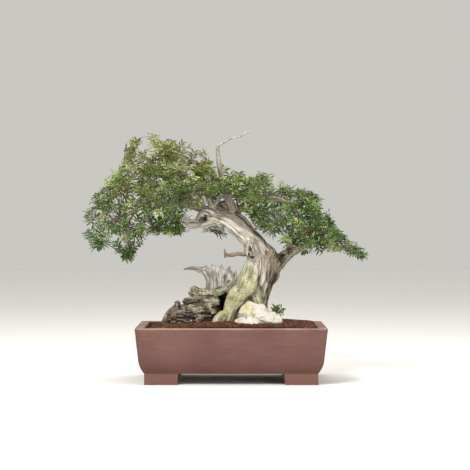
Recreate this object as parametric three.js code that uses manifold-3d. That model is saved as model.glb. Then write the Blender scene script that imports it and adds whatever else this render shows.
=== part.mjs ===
// A mastic tree (Pistacia lentiscus) grown as a bonsai: a leaning trunk on spread roots, an old dead stump
// beside it, bleached dead branches, a crown of small compound leaves, a pale rock, and dark grit in a
// rectangular unglazed pot. Millimetres, +Z up, seen from the front along +Y. The tree is laid out round
// the middle of the pot, and the last lines put the middle of the whole outline over the origin.
import * as THREE from "three";
import { mergeVertices } from "three/addons/utils/BufferGeometryUtils.js";
import Module from "manifold-3d";

const wasm = await Module();
wasm.setup();

// Driving dimensions.
const POT = {
  width: 450, depth: 320, height: 132, footHeight: 25, wall: 22, floor: 11, corner: 9,
  baseInset: 22, bulgeInset: 8, bulgeHeight: 62, rimEdge: 3,
};
const FOOT = { length: 80, breadth: 66, thick: 24, lean: 3, overlap: 3 };
const DRAIN = { holeRadius: 15, spread: 110, netSide: 46, netThick: 1.6, netHole: 7.5, netBar: 4.5 };
const SOIL = { edge: 121, crown: 143, cell: 27, grain: 1.5 };
const CLEAR = 0.4; // gap between pieces that touch
const LEAF = {
  pairs: 2, stalk: 8, pairGap: 12, leaflet: 24, breadth: 12, belly: 0.08, angle: 0.92, closing: 0.05,
  thick: 1, rib: 1.4, arch: 95, lift: 0.12, endGap: 0.17,
};
// A spray's leaves: where the top one sits on the stem, how far down each next one, and how their sizes vary.
const SPRAY = {
  leaves: 3, stem: 30, stemRadius: 2.3, spread: 62, tries: 14, top: 0.96, step: 0.26, small: 0.92, vary: 0.16,
};
// The slim branches of the sprays: how much they follow their bough, rise and bend, and how thick they are.
const TWIG = { follow: 0.35, rise: 0.15, bend: 0.14, bendAt: 0.55, share: 0.7, thickest: 3.2 };

const CLAY = new THREE.MeshStandardMaterial({ color: 0x845f55, roughness: 0.72, metalness: 0 });
const GRIT = new THREE.MeshStandardMaterial({ color: 0x5c3a30, roughness: 0.95, metalness: 0 });
const WOOD = new THREE.MeshStandardMaterial({ color: 0x9a927f, roughness: 0.88, metalness: 0 });
const LEAVES = new THREE.MeshStandardMaterial({ color: 0x586b34, roughness: 0.5, metalness: 0 });
const LIMESTONE = new THREE.MeshStandardMaterial({ color: 0xe6dfc8, roughness: 0.9, metalness: 0 });
const NET = new THREE.MeshStandardMaterial({ color: 0x20231f, roughness: 0.6, metalness: 0 });

// A repeatable stream of numbers from 0 to 1.
function stream(seed) {
  let state = seed >>> 0;
  return () => {
    state = (state + 0x6d2b79f5) >>> 0;
    let t = Math.imul(state ^ (state >>> 15), 1 | state);
    t = (t + Math.imul(t ^ (t >>> 7), 61 | t)) ^ t;
    return ((t ^ (t >>> 14)) >>> 0) / 4294967296;
  };
}

// A smooth bumpy value from -1 to 1 at a point, at about the given wavelength.
function bumps(x, y, z, wave, seed = 0) {
  const k = (2 * Math.PI) / wave;
  const a = Math.sin(k * x + 1.3 * seed) * Math.cos(0.8 * k * y + 2.1 * seed);
  const b = Math.sin(1.3 * k * y + 0.7 * seed + a) * Math.cos(1.1 * k * z - seed);
  const c = Math.sin(1.7 * k * z + 1.9 * seed + b) * Math.cos(1.5 * k * x + 0.4 * seed);
  return (a + b + c) / 2.2;
}

// The same surface with nothing kept at its corners but where they are.
function bareOf(geometry) {
  const bare = new THREE.BufferGeometry();
  bare.setAttribute("position", geometry.getAttribute("position"));
  bare.setIndex(geometry.index);
  return bare;
}

// A closed geometry as a solid that can be joined and cut.
function solidOf(geometry) {
  const merged = mergeVertices(bareOf(geometry), 1e-4);
  return new wasm.Manifold(new wasm.Mesh({
    numProp: 3,
    vertProperties: new Float32Array(merged.attributes.position.array),
    triVerts: new Uint32Array(merged.index.array),
  }));
}

const joined = (solids) => solids.reduce((whole, piece) => whole.add(piece));

// The biggest body of a solid, so that a scrap left by a cut is dropped.
function mainBody(solid) {
  return solid.decompose().reduce((best, body) => (body.volume() > best.volume() ? body : best));
}

function meshOf(name, solid, material) {
  const { vertProperties, triVerts } = mainBody(solid).getMesh();
  const geometry = new THREE.BufferGeometry();
  geometry.setAttribute("position", new THREE.BufferAttribute(new Float32Array(vertProperties), 3));
  geometry.setIndex(new THREE.BufferAttribute(new Uint32Array(triVerts), 1));
  geometry.computeVertexNormals();
  const mesh = new THREE.Mesh(geometry, material);
  mesh.name = name;
  return mesh;
}

// A closed skin over rings of points, each ring the same length, with a flat fan at each end.
function loft(rings) {
  const sides = rings[0].length;
  const positions = rings.flat().flatMap((p) => [p.x, p.y, p.z]);
  const faces = [];
  for (let r = 0; r + 1 < rings.length; r++)
    for (let i = 0; i < sides; i++) {
      const j = (i + 1) % sides;
      const [a, b, c, d] = [r * sides + i, r * sides + j, (r + 1) * sides + j, (r + 1) * sides + i];
      faces.push(a, b, c, a, c, d);
    }
  for (const [ring, first, turn] of [[rings[0], 0, 1], [rings.at(-1), (rings.length - 1) * sides, 0]]) {
    const middle = ring.reduce((sum, p) => sum.add(p), new THREE.Vector3()).divideScalar(sides);
    const centre = positions.length / 3;
    positions.push(middle.x, middle.y, middle.z);
    for (let i = 0; i < sides; i++) {
      const [a, b] = [first + i, first + ((i + 1) % sides)];
      faces.push(...(turn ? [centre, b, a] : [centre, a, b]));
    }
  }
  const geometry = new THREE.BufferGeometry();
  geometry.setAttribute("position", new THREE.Float32BufferAttribute(positions, 3));
  geometry.setIndex(faces);
  return geometry;
}

// The line and the thickness of a limb whose stations are [x, y, z, radius].
function limbLine(stations) {
  const points = stations.map(([x, y, z]) => new THREE.Vector3(x, y, z));
  const curve = new THREE.CatmullRomCurve3(points, false, "centripetal");
  const radiusAt = (t) => {
    const u = t * (stations.length - 1);
    const i = Math.min(Math.floor(u), stations.length - 2);
    return THREE.MathUtils.lerp(stations[i][3], stations[i + 1][3], u - i);
  };
  return { curve, radiusAt };
}

// A woody limb: a tube of changing thickness, ribbed and bumpy as asked, made `grow` larger all round.
function limb(stations, look = {}) {
  const { sides = 6, ribs = 0, ribDepth = 0, twist = 0, rough = 0, wave = 30, grow = 0 } = look;
  const { curve, radiusAt } = limbLine(stations);
  const count = stations.length - 1;
  const rings = [];
  let side = null;
  for (let r = 0; r <= count; r++) {
    const t = r / count;
    const at = curve.getPoint(t);
    const along = curve.getTangent(t);
    if (!side) side = new THREE.Vector3(0, Math.abs(along.y) > 0.9 ? 0 : 1, Math.abs(along.y) > 0.9 ? 1 : 0);
    side.addScaledVector(along, -side.dot(along)).normalize();
    const other = new THREE.Vector3().crossVectors(along, side);
    if (r === 0) at.addScaledVector(along, -grow);
    if (r === count) at.addScaledVector(along, grow);
    const ring = [];
    for (let i = 0; i < sides; i++) {
      const angle = (2 * Math.PI * i) / sides;
      const out = side.clone().multiplyScalar(Math.cos(angle)).addScaledVector(other, Math.sin(angle));
      const rib = ribDepth * Math.cos(ribs * angle + twist * t);
      const reach = radiusAt(t) * (1 + rib);
      const { x, y, z } = at.clone().addScaledVector(out, reach);
      ring.push(at.clone().addScaledVector(out, reach + rough * bumps(x, y, z, wave, ribs) + grow));
    }
    rings.push(ring);
  }
  return solidOf(loft(rings));
}

// A craggy lump with the given centre and half sizes: a rounded block whose corners are thrown in and out.
function lump(centre, halves, { rough = 0.2, seed = 1, detail = 2, block = 0.4, grow = 0 } = {}) {
  const geometry = mergeVertices(bareOf(new THREE.IcosahedronGeometry(1, detail)), 1e-4);
  const position = geometry.getAttribute("position");
  const next = stream(seed);
  const p = new THREE.Vector3();
  for (let i = 0; i < position.count; i++) {
    p.fromBufferAttribute(position, i);
    const flat = Math.max(Math.abs(p.x), Math.abs(p.y), Math.abs(p.z));
    const place = new THREE.Vector3(...halves).multiply(p);
    place.multiplyScalar((1 - block + (0.8 * block) / flat) * (1 + rough * (2 * next() - 1)));
    place.addScaledVector(p, grow).add(new THREE.Vector3(...centre));
    position.setXYZ(i, place.x, place.y, place.z);
  }
  return solidOf(geometry);
}

function box(low, high) {
  const [a, b] = [new THREE.Vector3(...low), new THREE.Vector3(...high)];
  const size = b.clone().sub(a);
  const geometry = new THREE.BoxGeometry(size.x, size.y, size.z);
  const centre = a.add(b).divideScalar(2);
  return solidOf(geometry.translate(centre.x, centre.y, centre.z));
}

// The pot. A ring is a rectangle with round corners at height z, inset from the rim's outline.
const QUARTERS = [[1, 1], [-1, 1], [-1, -1], [1, -1]];

function potRing(z, inset, turns = 2) {
  const { corner } = POT;
  const [hx, hy] = [POT.width / 2 - inset - corner, POT.depth / 2 - inset - corner];
  const ring = [];
  QUARTERS.forEach(([sx, sy], quarter) => {
    for (let i = 0; i <= turns; i++) {
      const angle = (quarter + i / turns) * (Math.PI / 2);
      ring.push(new THREE.Vector3(sx * hx + corner * Math.cos(angle), sy * hy + corner * Math.sin(angle), z));
    }
  });
  return ring;
}

// How far the outer wall stands in from the rim's outline at height z: straight above, drawn in at the foot.
function wallInset(z) {
  if (z >= POT.bulgeHeight) return (POT.bulgeInset * (POT.height - z)) / (POT.height - POT.bulgeHeight);
  const down = (POT.bulgeHeight - z) / (POT.bulgeHeight - POT.footHeight);
  return POT.bulgeInset + (POT.baseInset - POT.bulgeInset) * down ** 2;
}

const FLOOR_TOP = POT.footHeight + POT.floor;
const innerHeights = [FLOOR_TOP, 50, 90, POT.height - POT.rimEdge];
const innerInset = (z) => wallInset(z) + POT.wall - 4 * ((POT.height - z) / POT.height);

function foot(sx, sy) {
  const [x0, y0] = [POT.width / 2 - POT.baseInset, POT.depth / 2 - POT.baseInset];
  const [x1, y1] = [x0 - FOOT.thick, y0 - FOOT.thick];
  const plan = (lean) => {
    const [x2, y2] = [x0 - FOOT.length + lean, y0 - FOOT.breadth + lean];
    return [[x0, y0], [x2, y0], [x2, y1], [x1, y1], [x1, y2], [x0, y2]];
  };
  const ring = (z, lean) => plan(lean).map(([x, y]) => new THREE.Vector3(sx * x, sy * y, z));
  const rings = [ring(0, FOOT.lean), ring(POT.footHeight + FOOT.overlap, 0)];
  if (sx * sy < 0) rings.forEach((points) => points.reverse());
  return solidOf(footLoft(rings));
}

// The two outlines of a foot joined by a wall, with each lid split along the outline's own triangles.
function footLoft([low, high]) {
  const count = low.length;
  const positions = [...low, ...high].flatMap((p) => [p.x, p.y, p.z]);
  const lid = THREE.ShapeUtils.triangulateShape(low.map((p) => new THREE.Vector2(p.x, p.y)), []);
  const faces = [];
  for (const [a, b, c] of lid) faces.push(a, c, b, count + a, count + b, count + c);
  for (let i = 0; i < count; i++) {
    const j = (i + 1) % count;
    faces.push(i, j, count + j, i, count + j, count + i);
  }
  const geometry = new THREE.BufferGeometry();
  geometry.setAttribute("position", new THREE.Float32BufferAttribute(positions, 3));
  geometry.setIndex(faces);
  return geometry;
}

function potSolid() {
  const outer = [POT.footHeight, 30, 38, 48, POT.bulgeHeight, POT.height - POT.rimEdge]
    .map((z) => potRing(z, wallInset(z)));
  const rim = [potRing(POT.height, POT.rimEdge * 0.8), potRing(POT.height, POT.wall - 2)];
  const inner = innerHeights.toReversed().map((z) => potRing(z, innerInset(z)));
  let pot = solidOf(loft([...outer, ...rim, ...inner]));
  for (const [sx, sy] of QUARTERS) pot = pot.add(foot(sx, sy));
  for (const x of [-DRAIN.spread, DRAIN.spread]) {
    const hole = new THREE.CylinderGeometry(DRAIN.holeRadius, DRAIN.holeRadius, 3 * POT.floor, 12);
    hole.rotateX(Math.PI / 2).translate(x, 0, POT.footHeight + POT.floor / 2);
    pot = pot.subtract(solidOf(hole));
  }
  return pot;
}

// A drainage net, which lies on the floor over a drain hole.
function drainNet(x) {
  const half = DRAIN.netSide / 2;
  const [low, high] = [FLOOR_TOP + CLEAR, FLOOR_TOP + CLEAR + DRAIN.netThick];
  const pitch = DRAIN.netHole + DRAIN.netBar;
  const h = DRAIN.netHole / 2;
  let net = box([x - half, -half, low], [x + half, half, high]);
  for (const i of [-1, 0, 1])
    for (const j of [-1, 0, 1]) {
      const [u, v] = [x + i * pitch, j * pitch];
      net = net.subtract(box([u - h, v - h, low - 1], [u + h, v + h, high + 1]));
    }
  return net;
}

// The wood: roots, trunk, living limbs, dead branches and the old stump, all grown as one piece.
// Each limb is a list of stations [x, y, z, radius] from its foot to its tip.
const TRUNK_CORE = [
  [50, 12, 104, 24], [52, 14, 150, 29], [58, 14, 190, 30], [64, 12, 230, 32], [70, 8, 264, 30],
  [71, 4, 292, 26], [62, 0, 320, 24], [34, -2, 350, 22], [8, -3, 378, 20], [-22, -2, 392, 16],
  [-50, 0, 402, 13],
];
const LIVE_STRAND = [
  [28, -8, 204, 22], [37, -9, 224, 29], [44, -8, 248, 24], [49, -8, 268, 20.5], [54, -8, 292, 16],
  [50, -8, 316, 20], [38, -10, 338, 17], [16, -12, 358, 16], [-8, -13, 376, 15], [-34, -13, 386, 14],
  [-58, -14, 391, 9],
];
const DARK_STRAND = [
  [78, 10, 176, 9], [78, 9, 196, 11], [81, 7, 214, 14], [87, 6, 236, 18], [93, 4, 256, 22], [96, 3, 278, 23],
  [86, 2, 302, 20], [68, 0, 324, 16], [44, -1, 346, 14], [24, 0, 376, 16], [-4, 1, 394, 14], [-26, 2, 404, 11],
];
const ROOTS = [
  [
    [30, -6, 220, 22], [8, -14, 200, 19], [-1, -24, 180, 16], [-5, -31, 160, 15], [-14, -39, 140, 13],
    [-28, -46, 112, 8],
  ],
  [[34, -14, 214, 14], [20, -21, 191, 13], [6, -27, 172, 11], [0, -32, 152, 10], [-2, -36, 118, 8]],
  [[-10, -38, 160, 9], [-23, -46, 152, 13.5], [-32, -52, 138, 13], [-38, -57, 114, 8]],
  [
    [55, -6, 216, 20], [62, -13, 197, 15], [67, -20, 178, 12.5], [71, -27, 160, 12.5], [74, -32, 138, 13],
    [77, -36, 112, 8],
  ],
  [[26, -6, 188, 13], [19, -18, 166, 11], [16, -24, 142, 10], [14, -28, 114, 8]],
  [[76, 8, 196, 12], [78, 22, 166, 11], [84, 36, 140, 9], [92, 48, 112, 5]],
  [[55, 24, 196, 22], [50, 52, 162, 17], [44, 76, 136, 13], [38, 96, 112, 6]],
  [[70, 24, 190, 16], [74, 50, 160, 12], [82, 70, 138, 9], [92, 86, 112, 5]],
];
const STUB = [[46, -10, 304, 8], [28, -14, 301, 5.5], [14, -16, 302, 4.6], [2, -18, 299, 5], [-14, -20, 300, 4.6]];
const STUB_END = [[-17, -20, 314, 2], [-15, -20, 304, 3.6], [-15, -20, 292, 2.6]];
const KNOTS = [
  [
    [-40, -7, 404, 8], [-36, -10, 424, 6.5], [-28, -11, 436, 5.5], [-14, -11, 439, 6], [-2, -9, 430, 7],
    [10, -6, 404, 9],
  ],
  [[-44, -4, 402, 10], [-50, -6, 421, 7.5], [-55, -8, 437, 4]],
  [[88, -8, 296, 13], [96, -12, 306, 9], [99, -13, 316, 4]],
];
// Old wood that fills the eye of the loop knot from behind.
const KNOT_BACK = [[-36, 3, 404, 9], [-31, 3, 418, 8], [-18, 3, 422, 8], [-8, 3, 414, 9], [2, 3, 402, 10]];
const CLAW = [
  [[-46, -14, 396, 10], [-66, -17, 402, 7], [-82, -19, 399, 5.5], [-93, -20, 388, 4.5], [-106, -20, 376, 2.5]],
  [[-44, -12, 380, 8], [-64, -15, 372, 5.5], [-84, -17, 368, 4.5], [-100, -18, 364, 2.5]],
  [[-88, -20, 396, 5], [-80, -20, 384, 4], [-70, -18, 374, 4.5]],
];
const HOLLOWS = [
  [[-21, -16, 417], [12, 11, 6]], [[46, -28, 313], [5, 8, 8]], [[53, -26, 294], [9, 8, 5]],
  [[136, -9, 296], [10, 7, 8]],
];
const JIN = [
  [
    [-6, 6, 398, 9], [-12, 10, 446, 8], [-18, 11, 474, 7.5], [-26, 12, 498, 6.5], [-31, 12, 527, 5.6],
    [-33, 12, 551, 5], [-34, 12, 563, 3.6],
  ],
  [
    [-34, 12, 558, 3], [-24, 12, 566, 2.6], [-13, 11, 572, 2.3], [-2, 10, 579, 2], [22, 9, 584, 1.9],
    [33, 8, 592, 1.8], [46, 7, 596, 1.2],
  ],
];
const STUMP_LUMPS = [
  { centre: [-96, -4, 146], halves: [62, 46, 30], seed: 3, rough: 0.11 },
  { centre: [-80, -9, 170], halves: [50, 42, 14], seed: 11, rough: 0.13, detail: 1, block: 0.7 },
  { centre: [-70, -4, 187], halves: [52, 34, 12], seed: 7, rough: 0.12, detail: 1, block: 0.7 },
];
const STUMP_RIDGE = [
  [-152, -4, 114, 15], [-151, -5, 140, 14], [-144, -6, 155, 13], [-133, -6, 170, 10], [-127, -6, 187, 4.5],
];
const STUMP_LOG = [
  [-99, -10, 215, 10], [-90, -11, 212, 15], [-74, -12, 208, 13], [-46, -12, 209, 14], [-18, -11, 220, 13],
  [-2, -10, 229, 10], [15, -8, 236, 4],
];
// The splinters of the fan, from left to right, each from its foot on the log to its tip. The fan is one sheet
// of wood up to the third station of each, and their tips stand free of it.
const STUMP_FAN = [
  [[-52, -14, 212, 10], [-53, -17, 240, 9], [-63, -18, 259, 8], [-80, -18, 268, 5]],
  [[-50, -12, 212, 9], [-54, -13, 242, 8], [-60, -13, 267, 5], [-65, -14, 280, 1.4]],
  [[-45, -13, 212, 9], [-47, -17, 244, 7], [-50, -18, 262, 4], [-53, -19, 269, 2]],
  [[-39, -12, 212, 9], [-41, -13, 246, 7], [-43, -13, 269, 4.5], [-47, -12, 276, 1.8]],
  [[-34, -13, 212, 9], [-33, -18, 246, 7], [-34, -19, 268, 4], [-33, -20, 273, 2.4]],
  [[-28, -12, 213, 9], [-25, -14, 246, 7], [-25, -14, 266, 4.5], [-21, -13, 279, 1.4]],
  [[-22, -13, 214, 9], [-18, -18, 244, 7], [-15, -19, 259, 4], [-16, -20, 265, 2.2]],
  [[-16, -12, 217, 9], [-9, -12, 242, 7], [-6, -12, 264, 4.5], [-3, -12, 273, 1.8]],
  [[-10, -12, 220, 9], [-1, -15, 238, 6], [4, -15, 254, 4], [2, -15, 260, 2.2]],
  [[-5, -10, 224, 8], [6, -10, 236, 5], [11, -10, 249, 3.5], [10, -10, 264, 1.4]],
];
const FAN_THIN = 0.6; // the sheet's half thickness as a share of its splinters' radius
const FAN_SPIKE = [[-72, -18, 264, 6], [-88, -19, 270, 3.6], [-100, -19, 269, 2.4], [-114, -19, 265, 1.3]];
// The swollen foot of the low bough, where it leaves the dark strand.
const BOUGH_FOOT = [[106, -3, 280, 14], [122, -4, 297, 13], [138, -2, 310, 8]];
const BOUGHS = {
  left: [
    [-46, 0, 400, 13], [-72, 3, 411, 11], [-99, 4, 419, 10], [-142, 6, 424, 8], [-183, 4, 418, 6.5],
    [-224, 0, 406, 5.5], [-267, -3, 391, 4.5], [-300, -4, 376, 3.2],
  ],
  upperLeft: [
    [-84, 3, 414, 8], [-128, 10, 450, 7], [-160, 12, 484, 5.5], [-185, 8, 512, 4.2], [-200, 4, 530, 3],
  ],
  top: [[-40, 2, 402, 9], [-58, 8, 446, 7], [-76, 10, 484, 5], [-92, 6, 514, 4], [-104, 4, 530, 3]],
  right: [
    [4, 4, 390, 11], [26, 9, 414, 8.5], [60, 12, 434, 7], [102, 8, 436, 6], [146, 2, 420, 5],
    [184, -2, 404, 4], [212, -4, 384, 3],
  ],
  low: [
    [92, 2, 268, 17], [112, 4, 276, 15], [128, 6, 290, 12], [148, 8, 306, 10], [174, 10, 318, 8],
    [208, 8, 326, 6.5], [244, 4, 322, 5], [280, 0, 310, 3.5],
  ],
  inner: [[134, 6, 294, 7], [141, 2, 334, 5.5], [147, -2, 362, 4.5], [164, -4, 382, 3]],
};

// Each spray: the bough it grows from, how far along, where its leaves sit, and which side it spreads to.
const SPRAYS = [
  ["upperLeft", 0.95, [-226, 0, 549]], ["upperLeft", 0.8, [-180, -36, 550]], ["top", 0.95, [-134, 26, 550]],
  ["top", 0.9, [-94, -24, 534]], ["upperLeft", 0.66, [-192, 62, 500]], ["top", 0.6, [-116, -60, 496]],
  ["top", 0.45, [-50, 56, 478]], ["upperLeft", 0.4, [-142, 84, 466]], ["upperLeft", 0.5, [-208, -62, 484]],
  ["upperLeft", 0.72, [-258, 30, 490]], ["left", 0.7, [-290, 44, 438]], ["left", 0.66, [-262, -64, 440]],
  ["left", 0.45, [-194, -96, 432]], ["left", 0.5, [-212, 92, 424]], ["left", 0.3, [-142, -84, 446]],
  ["top", 0.3, [-80, -66, 456]], ["left", 0.98, [-324, 12, 388]], ["left", 0.85, [-280, -68, 380]],
  ["left", 0.8, [-254, 66, 370]], ["left", 0.56, [-204, -36, 380]], ["left", 0.4, [-152, 50, 384]],
  ["left", 0.9, [-318, -30, 346]], ["left", 0.74, [-256, -20, 324]], ["left", 0.36, [-150, -40, 388]],
  ["left", 0.1, [-54, 40, 372]], ["right", 0.1, [-12, -34, 474]], ["right", 0.2, [30, 20, 460]],
  ["right", 0.45, [86, 46, 454]], ["right", 0.42, [84, -54, 438]], ["right", 0.7, [136, 24, 434]],
  ["right", 0.78, [180, -44, 408]], ["right", 0.97, [222, 20, 372]], ["right", 0.34, [64, -50, 402]],
  ["right", 0.55, [112, 80, 400]], ["inner", 0.7, [128, -62, 390]], ["inner", 0.95, [190, -60, 362]],
  ["inner", 0.9, [176, 62, 366]], ["low", 0.97, [297, -8, 306]], ["low", 0.85, [270, 44, 334]],
  ["low", 0.76, [240, -52, 332]], ["low", 0.52, [184, 58, 336]], ["upperLeft", 0.86, [-206, -20, 530]],
  ["top", 0.78, [-134, -20, 522]], ["top", 0.66, [-72, -30, 496]], ["right", 0.24, [20, -40, 446]],
  ["right", 0.5, [76, -6, 464]], ["right", 0.9, [198, -26, 420]], ["low", 0.7, [236, 6, 358]],
];

// The sheet of wood between two splinters that stand side by side, as far up as their third station.
function fanWeb(left, right) {
  const edge = ([x, y, z, radius], side) => new THREE.Vector3(x, y + side * FAN_THIN * radius, z);
  const rings = [0, 1, 2].map((s) => [edge(left[s], 1), edge(left[s], -1), edge(right[s], -1), edge(right[s], 1)]);
  return solidOf(loft(rings));
}

function woodPieces(grow) {
  const bark = { sides: 8, ribs: 5, ribDepth: 0.09, rough: 1.4, wave: 26, grow };
  return [
    limb(TRUNK_CORE, { ...bark, sides: 9, twist: 2.4 }),
    limb(LIVE_STRAND, { ...bark, twist: -1.6 }),
    limb(DARK_STRAND, { ...bark, ribs: 4, rough: 2, wave: 17 }),
    ...ROOTS.map((stations) => limb(stations, { sides: 6, rough: 1.2, wave: 24, grow })),
    limb(STUMP_RIDGE, { sides: 6, rough: 2.4, wave: 15, grow }),
    ...STUMP_LUMPS.map(({ centre, halves, ...look }) => lump(centre, halves, { ...look, grow })),
  ];
}

// The slim branch from its bough to the foot of its spray, and the way the spray points.
function twigOf([bough, share, place]) {
  const { curve, radiusAt } = limbLine(BOUGHS[bough]);
  const start = curve.getPoint(share);
  const along = curve.getTangent(share);
  const centre = new THREE.Vector3(...place);
  const out = centre.clone().sub(start);
  const rise = new THREE.Vector3(0, 0, TWIG.rise);
  const lean = out.clone().normalize().addScaledVector(along, TWIG.follow).add(rise).normalize();
  const end = centre.clone().addScaledVector(lean, -SPRAY.stem / 2);
  const bend = start.clone().lerp(end, TWIG.bendAt).addScaledVector(along, TWIG.bend * out.length());
  const radius = Math.min(TWIG.share * radiusAt(share), TWIG.thickest);
  const stations = [
    [...start.toArray(), radius], [...bend.toArray(), 0.8 * radius], [...end.toArray(), SPRAY.stemRadius],
  ];
  const outward = limbLine(stations).curve.getTangent(1);
  return { stations, end, outward };
}

function treeSolid(twigs) {
  const parts = [
    ...woodPieces(0),
    limb(STUB, { sides: 5 }),
    limb(STUB_END, { sides: 4 }),
    ...KNOTS.map((stations) => limb(stations, { sides: 5, rough: 0.8, wave: 14 })),
    limb(KNOT_BACK, { sides: 6, rough: 0.8, wave: 14 }),
    ...CLAW.map((stations) => limb(stations, { sides: 5, rough: 0.8, wave: 14 })),
    ...JIN.map((stations, i) => limb(stations, { sides: i ? 3 : 5, rough: i ? 0 : 0.7, wave: 19 })),
    limb(STUMP_LOG, { sides: 7, rough: 1.4, wave: 20 }),
    limb(FAN_SPIKE, { sides: 4 }),
    ...STUMP_FAN.map((stations) => limb(stations, { sides: 4 })),
    ...STUMP_FAN.slice(1).map((stations, i) => fanWeb(STUMP_FAN[i], stations)),
    limb(BOUGH_FOOT, { sides: 7, rough: 1, wave: 14 }),
    ...Object.values(BOUGHS).map((stations) => limb(stations, { sides: 5, rough: 0.6, wave: 22 })),
    ...twigs.map(({ stations }) => limb(stations, { sides: 3 })),
  ];
  let tree = joined(parts);
  for (const [centre, halves] of HOLLOWS)
    tree = tree.subtract(lump(centre, halves, { rough: 0.06, detail: 1, block: 0 }));
  return tree;
}

// The outline of a compound leaf: its rib runs along +X, with leaflets in pairs and one at the end.
function leafOutline(size) {
  const upper = [];
  for (let i = 0; i < LEAF.pairs; i++) {
    const root = [LEAF.stalk + i * LEAF.pairGap, LEAF.rib];
    const angle = LEAF.angle - LEAF.closing * i;
    const [c, s] = [LEAF.leaflet * Math.cos(angle), LEAF.leaflet * Math.sin(angle)];
    upper.push(root, [root[0] + 0.5 * c - LEAF.belly * s, root[1] + 0.5 * s + LEAF.belly * c]);
    upper.push([root[0] + c, root[1] + s]);
  }
  const end = LEAF.stalk + (LEAF.pairs - LEAF.endGap) * LEAF.pairGap;
  upper.push([end, LEAF.rib], [end + 0.48 * LEAF.leaflet, LEAF.breadth / 2]);
  const lower = upper.toReversed().map(([x, y]) => [x, -y]);
  const outline = [[0, 0], ...upper, [end + LEAF.leaflet, 0], ...lower];
  return outline.map(([x, y]) => new THREE.Vector2(size * x, size * y));
}

// A closed slab over an outline, arched along X and lifted at its sides, split alike on both faces.
function bladeOf(outline, thick = LEAF.thick) {
  const contour = THREE.ShapeUtils.isClockWise(outline) ? outline.toReversed() : outline;
  const lid = THREE.ShapeUtils.triangulateShape(contour, []);
  const count = contour.length;
  const rise = ({ x, y }) => LEAF.lift * Math.abs(y) - (x * x) / (2 * LEAF.arch);
  const face = (side) => contour.flatMap((p) => [p.x, p.y, rise(p) + (side * thick) / 2]);
  const positions = [...face(-1), ...face(1)];
  const faces = [];
  for (const [a, b, c] of lid) faces.push(a, c, b, count + a, count + b, count + c);
  for (let i = 0; i < count; i++) {
    const j = (i + 1) % count;
    faces.push(i, j, count + j, i, count + j, count + i);
  }
  const geometry = new THREE.BufferGeometry();
  geometry.setAttribute("position", new THREE.Float32BufferAttribute(positions, 3));
  geometry.setIndex(faces);
  return geometry;
}

// Places a blade with its rib along `rib` and its upper face towards `up`.
function placed(geometry, at, rib, up) {
  const x = rib.clone().normalize();
  const y = new THREE.Vector3().crossVectors(up, x).normalize();
  const z = new THREE.Vector3().crossVectors(x, y);
  const matrix = new THREE.Matrix4().makeBasis(x, y, z).setPosition(at);
  return solidOf(geometry.clone().applyMatrix4(matrix));
}

const boundsOf = (solid) => {
  const { min, max } = solid.boundingBox();
  return new THREE.Box3(new THREE.Vector3(...min), new THREE.Vector3(...max));
};

const withBounds = (solid) => ({ solid, bounds: boundsOf(solid) });

function crosses(solid, others) {
  const bounds = boundsOf(solid);
  const near = others.filter((other) => bounds.intersectsBox(other.bounds));
  return near.some((other) => solid.intersect(other.solid).volume() > 0);
}

// The short stem of a leafy shoot, which stands just clear of the end of its twig.
function stemOf({ end, outward }) {
  const start = end.clone().addScaledVector(outward, CLEAR);
  const tip = start.clone().addScaledVector(outward, SPRAY.stem);
  const stations = [[...start.toArray(), SPRAY.stemRadius], [...tip.toArray(), 0.8 * SPRAY.stemRadius]];
  const tube = (grow) => limb(stations, { sides: 3, grow });
  return { start, tip, outward, solid: tube(0), room: withBounds(tube(0.3)) };
}

// A leafy shoot: its stem, with compound leaves set round it that keep clear of everything in `others`.
function spraySolid({ start, tip, outward, solid: stem }, others, next) {
  const side = new THREE.Vector3().crossVectors(outward, new THREE.Vector3(0, 0, 1)).normalize();
  const up = new THREE.Vector3().crossVectors(side, outward);
  const turn = next() * 2 * Math.PI;
  let whole = stem;
  const leaves = [];
  for (let k = 0; k < SPRAY.leaves; k++)
    for (let attempt = 0; attempt < SPRAY.tries; attempt++) {
      const stray = 0.5 * (next() - 0.5) + 0.04 * attempt * (next() - 0.5);
      const angle = turn + ((k + stray) * 2 * Math.PI) / SPRAY.leaves;
      const tilt = THREE.MathUtils.degToRad(SPRAY.spread + 22 * (next() - 0.5) + 2 * attempt * (next() - 0.5));
      const round = side.clone().multiplyScalar(Math.cos(angle)).addScaledVector(up, Math.sin(angle));
      const rib = outward.clone().multiplyScalar(Math.cos(tilt)).addScaledVector(round, Math.sin(tilt));
      const face = outward.clone().addScaledVector(round, -0.3);
      const at = start.clone().lerp(tip, SPRAY.top - SPRAY.step * k);
      const size = (SPRAY.small + SPRAY.vary * next()) * (attempt > 8 ? 0.8 : 1);
      const roomy = placed(bladeOf(leafOutline(1.03 * size), LEAF.thick + 2 * CLEAR), at, rib, face);
      if (crosses(roomy, others)) continue;
      const leaf = placed(bladeOf(leafOutline(size)), at, rib, face);
      if (leaves.some((other) => leaf.intersect(other).volume() > 0)) continue;
      leaves.push(leaf);
      whole = whole.add(leaf);
      break;
    }
  return whole;
}

// The rock: craggy lumps of limestone grown together.
const ROCK = [
  { centre: [40, -76, 162], halves: [23, 22, 32], seed: 2, rough: 0.1 },
  { centre: [69, -80, 162], halves: [21, 25, 24], seed: 5, rough: 0.12 },
  { centre: [90, -82, 147], halves: [36, 26, 17], seed: 8, rough: 0.12 },
  { centre: [48, -88, 142], halves: [44, 20, 16], seed: 4, rough: 0.14 },
];
const rockPieces = (grow) =>
  ROCK.map(({ centre, halves, ...look }) => lump(centre, halves, { ...look, detail: 1, block: 0.7, grow }));

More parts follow.
